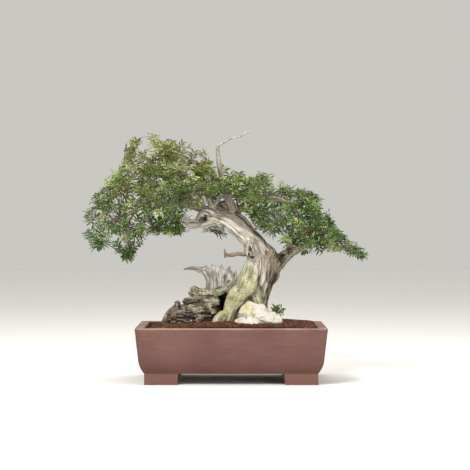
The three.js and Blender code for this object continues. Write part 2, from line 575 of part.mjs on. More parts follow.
// The shoot that has come up beside the trunk: a thin stem with two small leaves at its tip.
const SHOOT = [[116, -18, 112, 1.6], [114, -19, 142, 1.5], [108, -21, 160, 1.2]];
const SHOOT_LEAVES = [[-0.5, -0.4, 0.9], [0.8, 0.1, 0.7]];
const SHOOT_LEAF_SIZE = 0.5;

function shootSolid(others) {
  const stem = (grow) => limb(SHOOT, { sides: 4, grow });
  let whole = stem(0);
  const [x0, y0, z0, radius] = SHOOT.at(-1);
  const tip = new THREE.Vector3(x0, y0, z0 - radius / 2);
  for (const [x, y, z] of SHOOT_LEAVES) {
    const rib = new THREE.Vector3(x, y, z);
    const blade = bladeOf(leafOutline(SHOOT_LEAF_SIZE));
    const leaf = placed(blade, tip, rib, new THREE.Vector3(-x, -y, 0.9));
    if (!crosses(leaf, others)) whole = whole.add(leaf);
  }
  return { whole, hole: stem(CLEAR) };
}

// The soil: a mound of grit that fills the pot round the roots.
const soilHeight = (x, y) => {
  const [u, v] = [(x - 30) / (POT.width / 2), y / (POT.depth / 2)];
  const mound = Math.max(0, 1 - u * u) * Math.max(0, 1 - v ** 4);
  return SOIL.edge + (SOIL.crown - SOIL.edge) * mound ** 0.55;
};

function soilSolid(cuts, next) {
  const inside = (z, i) => potRing(i ? z : z + CLEAR, innerInset(Math.min(z, POT.height)) + CLEAR);
  const filling = solidOf(loft([...innerHeights.slice(0, -1), POT.height + 20].map(inside)));
  const [nx, ny] = [Math.ceil(POT.width / SOIL.cell), Math.ceil(POT.depth / SOIL.cell)];
  const top = new THREE.BoxGeometry(nx * SOIL.cell, ny * SOIL.cell, 1, nx, ny, 1);
  const position = top.getAttribute("position");
  const heights = new Map();
  for (let i = 0; i < position.count; i++) {
    const [x, y, z] = [position.getX(i), position.getY(i), position.getZ(i)];
    const key = `${Math.round(x)},${Math.round(y)}`;
    if (!heights.has(key)) heights.set(key, soilHeight(x, y) + SOIL.grain * (2 * next() - 1));
    position.setZ(i, z > 0 ? heights.get(key) : POT.footHeight);
  }
  let soil = filling.intersect(solidOf(top));
  for (const cut of cuts) soil = soil.subtract(cut);
  return soil;
}

// The whole plant, put together piece by piece.
const bonsai = new THREE.Group();
const twigs = SPRAYS.map(twigOf);
const roots = joined(woodPieces(CLEAR));
const tree = mainBody(treeSolid(twigs));
const rock = joined(rockPieces(0)).subtract(roots);
const shoot = shootSolid([withBounds(rock), withBounds(tree)]);
const half = DRAIN.netSide / 2 + CLEAR;
const netPockets = [-DRAIN.spread, DRAIN.spread].map((x) =>
  box([x - half, -half, FLOOR_TOP - 1], [x + half, half, FLOOR_TOP + DRAIN.netThick + 2 * CLEAR]));

bonsai.add(meshOf("pot", potSolid(), CLAY));
bonsai.add(meshOf("drain_net_left", drainNet(-DRAIN.spread), NET));
bonsai.add(meshOf("drain_net_right", drainNet(DRAIN.spread), NET));
const sunkIn = [roots, joined(rockPieces(CLEAR)), shoot.hole, ...netPockets];
bonsai.add(meshOf("soil", soilSolid(sunkIn, stream(11)), GRIT));
bonsai.add(meshOf("tree", tree, WOOD));
bonsai.add(meshOf("rock", rock, LIMESTONE));
bonsai.add(meshOf("root_shoot", shoot.whole, LEAVES));

const stems = twigs.map(stemOf);
const grown = [withBounds(tree)];
stems.forEach((stem, i) => {
  const others = [...grown, ...stems.filter((other) => other !== stem).map((other) => other.room)];
  const solid = mainBody(spraySolid(stem, others, stream(100 + i)));
  grown.push(withBounds(solid));
  bonsai.add(meshOf(`spray_${String(i + 1).padStart(2, "0")}`, solid, LEAVES));
});

const middle = new THREE.Box3().setFromObject(bonsai).getCenter(new THREE.Vector3());
bonsai.position.set(-middle.x, -middle.y, 0);

export default bonsai;
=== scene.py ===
"""A mastic tree grown as a bonsai, in an unglazed clay pot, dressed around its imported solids."""

import math

import bmesh
import bpy
import numpy as np
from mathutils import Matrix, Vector


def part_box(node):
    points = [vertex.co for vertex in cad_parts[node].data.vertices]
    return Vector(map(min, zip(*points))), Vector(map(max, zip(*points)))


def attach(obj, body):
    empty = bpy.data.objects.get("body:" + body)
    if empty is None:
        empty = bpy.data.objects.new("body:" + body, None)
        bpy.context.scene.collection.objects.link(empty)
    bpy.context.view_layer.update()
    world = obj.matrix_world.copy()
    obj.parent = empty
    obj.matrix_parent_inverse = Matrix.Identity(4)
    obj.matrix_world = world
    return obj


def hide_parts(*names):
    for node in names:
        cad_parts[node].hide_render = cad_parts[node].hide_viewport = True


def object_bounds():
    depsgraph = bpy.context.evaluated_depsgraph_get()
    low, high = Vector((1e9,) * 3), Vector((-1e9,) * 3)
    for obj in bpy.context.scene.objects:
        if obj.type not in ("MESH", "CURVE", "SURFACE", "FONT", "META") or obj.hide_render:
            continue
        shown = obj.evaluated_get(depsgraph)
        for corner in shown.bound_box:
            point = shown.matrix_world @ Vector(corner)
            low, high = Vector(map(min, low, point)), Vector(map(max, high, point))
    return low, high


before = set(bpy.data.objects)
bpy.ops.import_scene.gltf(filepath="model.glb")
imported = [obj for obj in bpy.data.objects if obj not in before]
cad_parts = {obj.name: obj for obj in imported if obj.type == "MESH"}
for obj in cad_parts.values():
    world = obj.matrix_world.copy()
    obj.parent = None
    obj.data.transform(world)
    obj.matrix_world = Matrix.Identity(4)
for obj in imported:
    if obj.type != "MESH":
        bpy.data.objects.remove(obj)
cad_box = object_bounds()

# Camera: it stands well back from the pot's front, at about half the tree's height, and looks almost level.
# Places are measured in millimetres from the middle of the pot, on the table that it stands on.
pot_low, pot_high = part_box("pot")
MIDDLE = np.array([(pot_low.x + pot_high.x) / 2, (pot_low.y + pot_high.y) / 2, 0.0])
EYE = (8.8, -4160.0, 383.0)
EYE_TILT = math.radians(0.496)
SENSOR_WIDTH, LENS_TO_WIDTH, FARTHEST = 36.0, 3.687, 60.0


def metres(points):
    """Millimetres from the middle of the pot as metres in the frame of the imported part."""
    return np.asarray(points, float) * 0.001 + MIDDLE


def millimetres(points):
    """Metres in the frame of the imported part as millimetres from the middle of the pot."""
    return (np.asarray(points, float) - MIDDLE) * 1000


camera = bpy.data.objects.new("camera", bpy.data.cameras.new("camera"))
camera.data.sensor_width = SENSOR_WIDTH
camera.data.lens = SENSOR_WIDTH * LENS_TO_WIDTH
camera.data.clip_end = FARTHEST
camera.location = metres(EYE)
camera.rotation_euler = (math.pi / 2 - EYE_TILT, 0, 0)
bpy.context.scene.collection.objects.link(camera)
bpy.context.scene.camera = camera
bpy.context.scene.view_settings.view_transform = "Standard"

# Pot: one piece of brown clay, pressed in a mould, smoothed by hand and fired without a glaze. It is a
# rectangular box with round corners and a flat rim, dusty and painted lighter on top as if lit from above,
# drawn in at its foot, with two holes to drain it.
POT_WIDTH, POT_DEPTH, POT_HEIGHT, POT_CORNER = 449.2, 319.2, 132.0, 9.0
POT_WALL, POT_FLOOR, POT_BOTTOM = 22.0, 11.0, 25.0
BELLY_HEIGHT, BELLY_INSET, BOTTOM_INSET, INNER_TAPER = 62.0, 8.0, 22.0, 4.0
CORNER_LEAST, CORNER_SHRINK, RIM_ROUND = 2.0, 0.4, 2.4
HAND_WORKED, RIM_WORN, RIM_WORN_FROM = 0.7, 0.5, 128.0
DRAIN_RADIUS, DRAIN_SPREAD, DRAIN_SIDES = 15.0, 110.0, 48
FLOOR_TOP = POT_BOTTOM + POT_FLOOR
NOISE_SCATTER, NOISE_SEED = (73856093, 19349663, 83492791), 374761393
NOISE_STIR, NOISE_STEPS = 1274126177, 0xFFFFFF


def paint(red, green, blue):
    """A colour as it looks on a screen, 0 to 255, turned into the light values that a shader takes."""
    seen = np.array([red, green, blue]) / 255
    light = np.where(seen <= 0.04045, seen / 12.92, ((seen + 0.055) / 1.055) ** 2.4)
    return (*light.tolist(), 1.0)


class Value:
    """A number that changes over a surface. Sums and products with it become nodes of its finish."""

    def __init__(self, finish, socket):
        self.finish = finish
        self.socket = socket

    def math(self, operation, first, second, clamp=False):
        settings = {"operation": operation, "use_clamp": clamp}
        return self.finish.node("ShaderNodeMath", settings, {0: first, 1: second})

    def __add__(self, other):
        return self.math("ADD", self, other)

    def __sub__(self, other):
        return self.math("SUBTRACT", self, other)

    def __rsub__(self, other):
        return self.math("SUBTRACT", other, self)

    def __mul__(self, other):
        return self.math("MULTIPLY", self, other)

    __radd__ = __add__
    __rmul__ = __mul__

    def rise(self, low, high):
        """0 up to low, 1 beyond high, and a straight climb between them."""
        return self.math("MULTIPLY", self - low, 1 / (high - low), clamp=True)


class Finish:
    """A surface finish: one shader, with its colour, roughness and relief worked out from nodes."""

    def __init__(self, name, **constants):
        self.material = bpy.data.materials.new(name)
        self.material.use_nodes = True
        self.tree = self.material.node_tree
        self.tree.nodes.clear()
        self.shader = self.tree.nodes.new("ShaderNodeBsdfPrincipled")
        output = self.tree.nodes.new("ShaderNodeOutputMaterial")
        self.tree.links.new(self.shader.outputs[0], output.inputs[0])
        for socket, value in constants.items():
            self.shader.inputs[socket.replace("_", " ")].default_value = value

    def node(self, kind, settings, inputs, output=0):
        node = self.tree.nodes.new(kind)
        for name, value in settings.items():
            setattr(node, name, value)
        for name, value in inputs.items():
            self.feed(node.inputs[name], value)
        return Value(self, node.outputs[output])

    def feed(self, socket, value):
        if isinstance(value, Value):
            self.tree.links.new(value.socket, socket)
        else:
            socket.default_value = value

    def place(self):
        return self.node("ShaderNodeTexCoord", {}, {}, "Object")

    def height(self, place):
        return self.node("ShaderNodeSeparateXYZ", {}, {"Vector": place}, "Z")

    def mark(self, name, output="Fac"):
        return self.node("ShaderNodeAttribute", {"attribute_name": name}, {}, output)

    def stretched(self, vector, scale):
        return self.node("ShaderNodeMapping", {}, {"Vector": vector, "Scale": scale})

    def noise(self, vector, scale, detail=3.0, roughness=0.5):
        inputs = {"Vector": vector, "Scale": scale, "Detail": detail, "Roughness": roughness}
        return self.node("ShaderNodeTexNoise", {}, inputs)

    def grained(self, grain, length, width, detail=3, roughness=0.6):
        """Streaks along the grain of wood, of a length and a width in millimetres."""
        return self.noise(self.stretched(grain, (1 / length, 1 / width, 1 / width)), 1, detail, roughness)

    def mix(self, share, first, second):
        """Two colours mixed, in which a plain colour is given as it looks on a screen."""
        first, second = (shade if isinstance(shade, Value) else paint(*shade) for shade in (first, second))
        return self.node("ShaderNodeMix", {"data_type": "RGBA"}, {0: share, 6: first, 7: second}, 2)

    def coats(self, colour, *coats):
        """A colour with others laid over it in turn, each over its own share of the surface."""
        for share, over in coats:
            colour = self.mix(share, colour, over)
        return colour

    def relief(self, height, depth, strength=1.0):
        inputs = {"Height": height, "Distance": depth, "Strength": strength}
        return self.node("ShaderNodeBump", {}, inputs)

    def apply(self, colour, roughness, normal):
        self.feed(self.shader.inputs["Base Color"], colour)
        self.feed(self.shader.inputs["Roughness"], roughness)
        self.feed(self.shader.inputs["Normal"], normal)
        return self.material


def make_piece(name, points, faces, material, smooth=True, marks=None):
    """A mesh from points in millimetres, with a number or a vector at each point for every mark."""
    mesh = bpy.data.meshes.new(name)
    mesh.from_pydata(metres(points).tolist(), [], faces)
    mesh.polygons.foreach_set("use_smooth", np.full(len(mesh.polygons), smooth))
    for mark, values in (marks or {}).items():
        values = np.asarray(values, np.float32)
        kind, field = ("FLOAT", "value") if values.ndim == 1 else ("FLOAT_VECTOR", "vector")
        mesh.attributes.new(mark, kind, "POINT").data.foreach_set(field, values.ravel())
    mesh.materials.append(material)
    piece = bpy.data.objects.new(name, mesh)
    bpy.context.scene.collection.objects.link(piece)
    return piece


def loft_faces(rings, sides):
    """Faces of a closed skin over rings of points that follow each other, with one face at each end."""
    faces = []
    for low in range(0, (rings - 1) * sides, sides):
        for side in range(sides):
            turn = (side + 1) % sides
            faces.append((low + side, low + turn, low + sides + turn, low + sides + side))
    last = (rings - 1) * sides
    return [tuple(range(sides))[::-1], *faces, tuple(range(last, last + sides))]


def smooth_noise(points, seed=0):
    """Repeatable bumps from -1 to 1, about one in each unit of length."""
    points = np.asarray(points, float)
    cell = np.floor(points)
    part = points - cell
    part = part * part * (3 - 2 * part)
    total = np.zeros(points.shape[:-1])
    for corner in np.ndindex(2, 2, 2):
        number = ((cell + corner).astype(np.int64) * NOISE_SCATTER).sum(-1) + NOISE_SEED * seed
        number = (number ^ (number >> 13)) * NOISE_STIR
        number = (number ^ (number >> 16)) & NOISE_STEPS
        total += np.prod(np.where(corner, part, 1 - part), axis=-1) * number / NOISE_STEPS
    return 2 * total - 1


def wall_inset(z):
    """How far the outer wall stands in from the rim's outline: nearly upright, then drawn in below."""
    if z >= BELLY_HEIGHT:
        return BELLY_INSET * (POT_HEIGHT - z) / (POT_HEIGHT - BELLY_HEIGHT)
    down = (BELLY_HEIGHT - z) / (BELLY_HEIGHT - POT_BOTTOM)
    return BELLY_INSET + (BOTTOM_INSET - BELLY_INSET) * down**2


def inner_inset(z):
    return wall_inset(z) + POT_WALL - INNER_TAPER * (POT_HEIGHT - z) / POT_HEIGHT


def pot_ring(z, inset, turns=6, along=12):
    """A rectangle with round corners at height z, drawn in from the rim's outline by inset."""
    corner = max(CORNER_LEAST, POT_CORNER - CORNER_SHRINK * inset)
    reach = np.array([POT_WIDTH / 2 - inset - corner, POT_DEPTH / 2 - inset - corner])
    arcs = []
    for quarter, signs in enumerate(((1, 1), (-1, 1), (-1, -1), (1, -1))):
        angle = (quarter + np.linspace(0, 1, turns + 1)) * math.pi / 2
        arcs.append(reach * signs + corner * np.stack([np.cos(angle), np.sin(angle)], 1))
    outline = []
    for arc, following in zip(arcs, arcs[1:] + arcs[:1]):
        shares = np.array([0.02, *np.linspace(0.1, 0.9, along - 1), 0.98])[:, None]
        outline += [arc, arc[-1] + shares * (following[0] - arc[-1])]
    outline = np.vstack(outline)
    return np.column_stack([outline, np.full(len(outline), z)])


turn = np.radians([0, 25, 50, 75, 90])
outer_edge = list(zip(POT_HEIGHT - RIM_ROUND * (1 - np.sin(turn)), RIM_ROUND * (1 - np.cos(turn))))
inside = inner_inset(POT_HEIGHT)
inner_edge = list(zip(POT_HEIGHT - RIM_ROUND * (1 - np.cos(turn)), inside - RIM_ROUND * (1 - np.sin(turn))))
pot_profile = [(POT_BOTTOM, BOTTOM_INSET + 2), (POT_BOTTOM + 0.6, BOTTOM_INSET + 0.6)]
pot_profile += [(z, wall_inset(z)) for z in (27, 30, 34, 38, 43, 48, 54, 60, 68, 80, 95, 110, 122)]
pot_profile += [*outer_edge, (POT_HEIGHT, 7.0), (POT_HEIGHT, 14.0), *inner_edge]
pot_profile += [(z, inner_inset(z)) for z in (124, 105, 80, 60, 48, FLOOR_TOP + 3)]
pot_profile += [(FLOOR_TOP, inner_inset(FLOOR_TOP) + 3)]
pot_rings = [pot_ring(z, inset) for z, inset in pot_profile]
pot_skin = np.vstack(pot_rings)
outwards = pot_skin[:, :2] / np.linalg.norm(pot_skin[:, :2], axis=1)[:, None]
hand_worked = smooth_noise(pot_skin / (70, 70, 45), 5) - 0.6
pot_skin[:, :2] += HAND_WORKED * outwards * hand_worked[:, None]
rim_worn = RIM_WORN * (1 + smooth_noise(pot_skin / 38, 8))
pot_skin[:, 2] -= np.where(pot_skin[:, 2] > RIM_WORN_FROM, rim_worn, 0)

clay = Finish("unglazed_clay", IOR=1.4)
place = clay.place()
height = clay.height(place)
clouds = clay.noise(place, 11, 4)
specks = clay.noise(place, 520, 2, 0.6)
smears = clay.noise(clay.stretched(place, (1, 1, 6)), 22, 3)
# The walls are darker towards the bottom, and the feet are painted paler again, as painted light against the
# shade under the pot. The rim is paler with dust and with painted light on its top.
darker_low_wall, feet_painted_light = height.rise(0.1, 0.03), height.rise(0.03, 0.024)
rim_dust_and_top_light = height.rise(0.1285, 0.1312) * (0.35 + clouds.rise(0.4, 0.65) * 0.4)
clay_colour = clay.coats(
    clay.mix(clouds.rise(0.35, 0.68), (89, 59, 52), (102, 71, 64)),
    (smears.rise(0.5, 0.75) * 0.3, (118, 88, 80)),
    (specks.rise(0.6, 0.7) * 0.45, (70, 47, 40)),
    (darker_low_wall * 0.6, (80, 49, 40)),
    (feet_painted_light * 0.7, (106, 74, 64)),
    (rim_dust_and_top_light, (178, 150, 132)),
)
clay_relief = clay.relief(specks + clay.noise(place, 160, 3) * 0.8, 0.0006, 0.45)
clay.apply(clay_colour, 0.6 + specks * 0.2, clay_relief)

pot = make_piece("clay_pot", pot_skin, loft_faces(len(pot_rings), len(pot_rings[0])), clay.material)

# Feet: four angle-shaped feet of the same clay, pressed on under the pot's corners before firing, so that
# air and water pass below. Their free ends lean in a little towards the table.
FOOT_LENGTH, FOOT_BREADTH, FOOT_THICK, FOOT_LEAN, FOOT_OVERLAP = 80.0, 66.0, 24.0, 3.0, 3.0
FOOT_EDGE = 0.0012


def angle_foot(sx, sy):
    x0, y0 = POT_WIDTH / 2 - BOTTOM_INSET, POT_DEPTH / 2 - BOTTOM_INSET
    x1, y1 = x0 - FOOT_THICK, y0 - FOOT_THICK
    points = []
    for z, lean in ((0.0, FOOT_LEAN), (POT_BOTTOM + FOOT_OVERLAP, 0.0)):
        x2, y2 = x0 - FOOT_LENGTH + lean, y0 - FOOT_BREADTH + lean
        plan = [(x0, y0), (x2, y0), (x2, y1), (x1, y1), (x1, y2), (x0, y2)]
        points += [(sx * x, sy * y, z) for x, y in plan]
    faces = loft_faces(2, 6)
    if sx * sy < 0:
        faces = [face[::-1] for face in faces]
    foot = make_piece("foot", points, faces, clay.material, smooth=False)
    soft_edge = foot.modifiers.new("soft_edge", "BEVEL")
    soft_edge.width = FOOT_EDGE
    soft_edge.segments = 2
    return foot


def join_or_cut(piece, others, operation):
    """Joins closed bodies to a piece, or cuts them out of it, and keeps the result alone."""
    for other in others:
        change = piece.modifiers.new("change", "BOOLEAN")
        change.operation = operation
        change.solver = "EXACT"
        change.object = other
    bpy.context.view_layer.update()
    result = bpy.data.meshes.new_from_object(piece.evaluated_get(bpy.context.evaluated_depsgraph_get()))
    piece.modifiers.clear()
    piece.data = result
    for other in others:
        bpy.data.objects.remove(other)


round_ring = np.linspace(0, 2 * math.pi, DRAIN_SIDES, endpoint=False)
drain_holes = []
for side in (-1, 1):
    across = side * DRAIN_SPREAD + DRAIN_RADIUS * np.cos(round_ring)
    back = DRAIN_RADIUS * np.sin(round_ring)
    ends = [np.column_stack([across, back, np.full_like(back, z)]) for z in (POT_BOTTOM - 10, FLOOR_TOP + 10)]
    drain_holes.append(make_piece("drain_hole", np.vstack(ends), loft_faces(2, DRAIN_SIDES), clay.material))
join_or_cut(pot, [angle_foot(sx, sy) for sx in (-1, 1) for sy in (-1, 1)], "UNION")
join_or_cut(pot, drain_holes, "DIFFERENCE")
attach(pot, "root")
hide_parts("pot")

# Drainage nets: two squares of coarse black plastic net, cut from a sheet and laid over the drain holes,
# so that no grit falls out. Their bars are round at the edges and carry a film of clay dust.
net = Finish("drain_net_plastic", IOR=1.5)
net_dust = net.noise(net.place(), 260, 3)
net_colour = net.mix(net_dust.rise(0.45, 0.75), (34, 37, 34), (92, 82, 72))
net.apply(net_colour, 0.45 + net_dust * 0.3, net.relief(net_dust, 0.0002, 0.4))
for name in ("drain_net_left", "drain_net_right"):
    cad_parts[name].material_slots[0].material = net.material

# Soil: red-brown fired grit of 4 to 5 mm grains, poured in and worked between the roots, level with the
# rim at the pot's walls and mounded up to the foot of the trunk.
SOIL_EDGE, SOIL_CROWN, SOIL_MOUND_X, SOIL_CLEAR = 121.0, 143.0, 30.0, 0.4
SOIL_LIFT, SOIL_UNDER_GRAINS, SOIL_ROUGH, SOIL_RINGS = 2.4, 1.2, 0.8, 24
GRAIN_PITCH, GRAIN_SMALL, GRAIN_LARGE, GRAIN_STRAY, GRAIN_SUNK, GRAIN_EDGE = 4.3, 1.7, 2.8, 2.0, 0.35, 2.6
GRAIN_SEED = 12


def soil_height(x, y):
    u, v = (x - SOIL_MOUND_X) / (POT_WIDTH / 2), y / (POT_DEPTH / 2)
    mound = np.maximum(0, 1 - u**2) * np.maximum(0, 1 - v**4)
    return SOIL_EDGE + (SOIL_CROWN - SOIL_EDGE) * mound**0.55


soil_rings = []
for z in (FLOOR_TOP + SOIL_LIFT, 50, 80, 105):
    soil_rings.append(pot_ring(z, inner_inset(z) + SOIL_CLEAR))
soil_edge = pot_ring(SOIL_EDGE, inner_inset(SOIL_EDGE) + SOIL_CLEAR)
for step in range(SOIL_RINGS):
    ring = soil_edge * (1 - step / SOIL_RINGS, 1 - step / SOIL_RINGS, 1)
    uneven = SOIL_ROUGH * smooth_noise(ring / 7, 3)
    ring[:, 2] = soil_height(ring[:, 0], ring[:, 1]) - SOIL_UNDER_GRAINS + uneven
    soil_rings.append(ring)
soil_parts = [(np.vstack(soil_rings), loft_faces(len(soil_rings), len(soil_edge)))]


def joined(parts):
    """The points and faces of several skins as those of one."""
    points, faces, count = [], [], 0
    for part_points, part_faces in parts:
        points.append(part_points)
        faces.extend(tuple(count + point for point in face) for face in part_faces)
        count += len(part_points)
    return np.vstack(points), faces


def ball(fineness):
    """The points and the three-cornered faces of a ball of radius 1."""
    rough = bmesh.new()
    bmesh.ops.create_icosphere(rough, subdivisions=fineness, radius=1)
    points = np.array([point.co for point in rough.verts])
    faces = [tuple(point.index for point in face.verts) for face in rough.faces]
    rough.free()
    return points, faces


chance = np.random.default_rng(GRAIN_SEED)
grain_points, grain_faces = ball(1)
half_x = POT_WIDTH / 2 - inner_inset(SOIL_EDGE) - GRAIN_EDGE
half_y = POT_DEPTH / 2 - inner_inset(SOIL_EDGE) - GRAIN_EDGE
columns, rows = np.meshgrid(np.arange(-half_x, half_x, GRAIN_PITCH), np.arange(-half_y, half_y, GRAIN_PITCH))
grain_x, grain_y = (
    np.clip(places.ravel() + chance.uniform(-GRAIN_STRAY, GRAIN_STRAY, places.size), -half, half)
    for places, half in ((columns, half_x), (rows, half_y))
)
grain_tones = [np.zeros(len(soil_parts[0][0]))]
for x, y in zip(grain_x, grain_y):
    size = chance.uniform(GRAIN_SMALL, GRAIN_LARGE)
    turned = grain_points @ np.linalg.qr(chance.normal(size=(3, 3)))[0]
    corners = turned * (size * chance.uniform(0.78, 1.12, (len(turned), 1)))
    corners = corners + (x, y, soil_height(x, y) - GRAIN_SUNK * size + chance.uniform(-0.6, 0.8))
    soil_parts.append((corners, grain_faces))
    grain_tones.append(np.full(len(turned), chance.uniform(0.15, 1)))

grit = Finish("fired_grit", IOR=1.35)
tone = grit.mark("tone")
crumbs = grit.noise(grit.place(), 900, 3, 0.65)
grit_colour = grit.coats(
    grit.mix(tone.rise(0.1, 0.75), (48, 27, 17), (100, 60, 38)),
    (tone.rise(0.82, 1.0), (136, 98, 74)),
    (crumbs.rise(0.4, 0.7) * 0.4, (60, 38, 29)),
)
grit.apply(grit_colour, 0.9, grit.relief(crumbs, 0.0005, 0.6))
soil_points, soil_faces = joined(soil_parts)
soil = make_piece("grit_soil", soil_points, soil_faces, grit.material, smooth=False,
                  marks={"tone": np.concatenate(grain_tones)})
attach(soil, "root")
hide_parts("soil")

# Trunk: an old leaning trunk, in which a live strand with smooth green-grey bark and a dark knobby strand
# have grown round a core of bare weathered wood. Its roots spread over the soil and go down into it.
TRUNK_CORE = [
    (50, 12, 104, 24), (52, 14, 150, 29), (58, 14, 190, 30), (64, 12, 230, 32), (70, 8, 264, 30),
    (71, 4, 292, 26), (62, 0, 320, 24), (34, -2, 350, 22), (8, -3, 378, 20), (-22, -2, 392, 16),
    (-50, 0, 402, 13),
]
LIVE_STRAND = [
    (28, -8, 204, 22), (37, -9, 224, 29), (44, -8, 248, 24), (49, -8, 268, 20.5), (54, -8, 292, 16),
    (50, -8, 316, 20), (38, -10, 338, 17), (16, -12, 358, 16), (-8, -13, 376, 15), (-34, -13, 386, 14),
    (-58, -14, 391, 9),
]
DARK_STRAND = [
    (78, 10, 176, 9), (78, 9, 196, 11), (81, 7, 214, 14), (87, 6, 236, 18), (93, 4, 256, 22),
    (96, 3, 278, 23), (86, 2, 302, 20), (68, 0, 324, 16), (44, -1, 346, 14), (24, 0, 376, 16),
    (-4, 1, 394, 14), (-26, 2, 404, 11),
]
LIVE_ROOTS = [
    [(30, -6, 220, 22), (8, -14, 200, 19), (-1, -24, 180, 16), (-5, -31, 160, 15), (-14, -39, 140, 13),
     (-28, -46, 112, 8)],
    [(34, -14, 214, 14), (20, -21, 191, 13), (6, -27, 172, 11), (0, -32, 152, 10), (-2, -36, 118, 8)],
    [(-10, -38, 160, 9), (-23, -46, 152, 13.5), (-32, -52, 138, 13), (-38, -57, 114, 8)],
    [(55, -6, 216, 20), (62, -13, 197, 15), (67, -20, 178, 12.5), (71, -27, 160, 12.5), (74, -32, 138, 13),
     (77, -36, 112, 8)],
]
# A rotten root between the left root and the rock, coloured dark partly as rotten wood and partly as painted
# shade.
SHADED_ROTTEN_ROOT = [(26, -6, 188, 13), (19, -18, 166, 11), (16, -24, 142, 10), (14, -28, 114, 8)]
OLD_ROOTS = [
    [(76, 8, 196, 12), (78, 22, 166, 11), (84, 36, 140, 9), (92, 48, 112, 5)],
    [(55, 24, 196, 22), (50, 52, 162, 17), (44, 76, 136, 13), (38, 96, 112, 6)],
    [(70, 24, 190, 16), (74, 50, 160, 12), (82, 70, 138, 9), (92, 86, 112, 5)],
]
DEAD_STUB = [
    (46, -10, 304, 8), (28, -14, 301, 5.5), (14, -16, 302, 4.6), (2, -18, 299, 5), (-14, -20, 300, 4.6),
]
STUB_END = [(-17, -20, 314, 2), (-15, -20, 304, 3.6), (-15, -20, 292, 2.6)]
KNOTS = [
    [(-42, -4, 404, 7), (-37, -8, 421, 4.5), (-28, -11, 436, 4), (-17, -11, 438, 6), (-4, -9, 427, 8.5),
     (9, -6, 404, 11)],
    [(-29, -5, 416, 2.6), (-20, -8, 422, 3.6), (-11, -8, 419, 3)],
    [(-44, -4, 402, 10), (-50, -6, 421, 7.5), (-55, -8, 437, 4)],
]
DARK_KNOT = [(88, -8, 296, 13), (96, -12, 306, 9), (99, -13, 316, 4)]
# The claw of bare wood at the left. Dark rotten wood, its darkness partly painted shade, shows behind its
# slot and behind the looped knot.
CLAW = [
    [(-46, -14, 396, 10), (-60, -18, 403, 8), (-72, -20, 400, 6.5), (-80, -21, 390, 5), (-86, -20, 377, 4)],
    [(-44, -12, 380, 9), (-64, -15, 372, 8), (-84, -17, 369, 6), (-97, -18, 369, 6.5), (-111, -18, 374, 2)],
    [(-80, -19, 378, 6), (-95, -20, 380, 6), (-108, -20, 384, 3), (-114, -20, 389, 1.2)],
]
CLAW_BACK = [(-54, -3, 386, 9), (-68, -4, 383, 9), (-82, -7, 378, 7)]
PALE_RIDGE = [
    (-2, -22, 388, 3), (20, -23, 371, 4), (36, -23, 358, 4.5), (50, -21, 347, 4.5), (63, -18, 338, 4.5),
    (76, -13, 327, 4), (83, -12, 312, 3),
]
KNOT_RIM = [
    (45, -25, 333, 4), (38, -24, 318, 4), (40, -24, 300, 4), (52, -22, 287, 4), (65, -21, 289, 4),
    (66, -21, 304, 4), (58, -22, 322, 4), (47, -25, 333, 4),
]
DEAD_BRANCH = [
    (-6, 6, 398, 9), (-12, 10, 446, 8), (-18, 11, 474, 7.5), (-26, 12, 498, 6.5), (-31, 12, 527, 5.6),
    (-33, 12, 551, 5), (-34, 12, 563, 3.6),
]
DEAD_TWIG = [
    (-34, 12, 556, 3), (-24, 12, 566, 2.6), (-13, 11, 572, 2.3), (-2, 10, 579, 2), (22, 9, 584, 1.9),
    (33, 8, 592, 1.8), (46, 7, 596, 1.2),
]
KNOT_BACK = [(-36, 5, 402, 9), (-30, 7, 415, 10), (-19, 7, 419, 11), (-8, 7, 413, 11), (2, 5, 400, 10)]
HOLLOWS = [
    ((-21, -16, 417), (13, 11, 6)), ((-22, -16, 428), (9, 9, 3)), ((46, -28, 313), (4, 8, 7)),
    ((53, -26, 294), (8, 8, 4)), ((42, -26, 300), (3, 6, 5)), ((-64, -13, 387), (9, 6, 8)),
    ((-94, -25, 377), (10, 6, 2.6)), ((-74, -25, 373), (8, 5, 2)),
]
TRUNK_VOXEL = 1.38


def limb_line(stations, shares):
    """Points and thicknesses on the smooth line through stations (x, y, z, radius), at shares from 0 to 1."""
    stations = np.asarray(stations, float)
    points = stations[:, :3]
    padded = np.vstack([2 * points[0] - points[1], points, 2 * points[-1] - points[-2]])
    at = np.clip(np.asarray(shares, float), 0, 1) * (len(points) - 1)
    first = np.minimum(at.astype(int), len(points) - 2)
    t = (at - first)[:, None]
    p0, p1, p2, p3 = (padded[first + step] for step in range(4))
    d0, d1, d2 = (np.linalg.norm(b - a, axis=1)[:, None] ** 0.5 for a, b in ((p0, p1), (p1, p2), (p2, p3)))
    leaving = d1 * ((p1 - p0) / d0 - (p2 - p0) / (d0 + d1) + (p2 - p1) / d1)
    arriving = d1 * ((p2 - p1) / d1 - (p3 - p1) / (d1 + d2) + (p3 - p2) / d2)
    cubic = (2 * (p1 - p2) + leaving + arriving) * t**3
    middle = p1 + leaving * t + (3 * (p2 - p1) - 2 * leaving - arriving) * t**2 + cubic
    return middle, np.interp(at, np.arange(len(stations)), stations[:, 3])


def unit(vector):
    return vector / np.linalg.norm(vector, axis=-1, keepdims=True)


def round_rings(middle, side, other, reach, sides):
    """A closed skin of round rings, set across a line of points in the two directions given at each."""
    angle = np.arange(sides) * 2 * math.pi / sides
    across = np.cos(angle)[:, None] * side[:, None] + np.sin(angle)[:, None] * other[:, None]
    points = middle[:, None] + across * reach[..., None]
    return points.reshape(-1, 3), loft_faces(len(middle), sides)


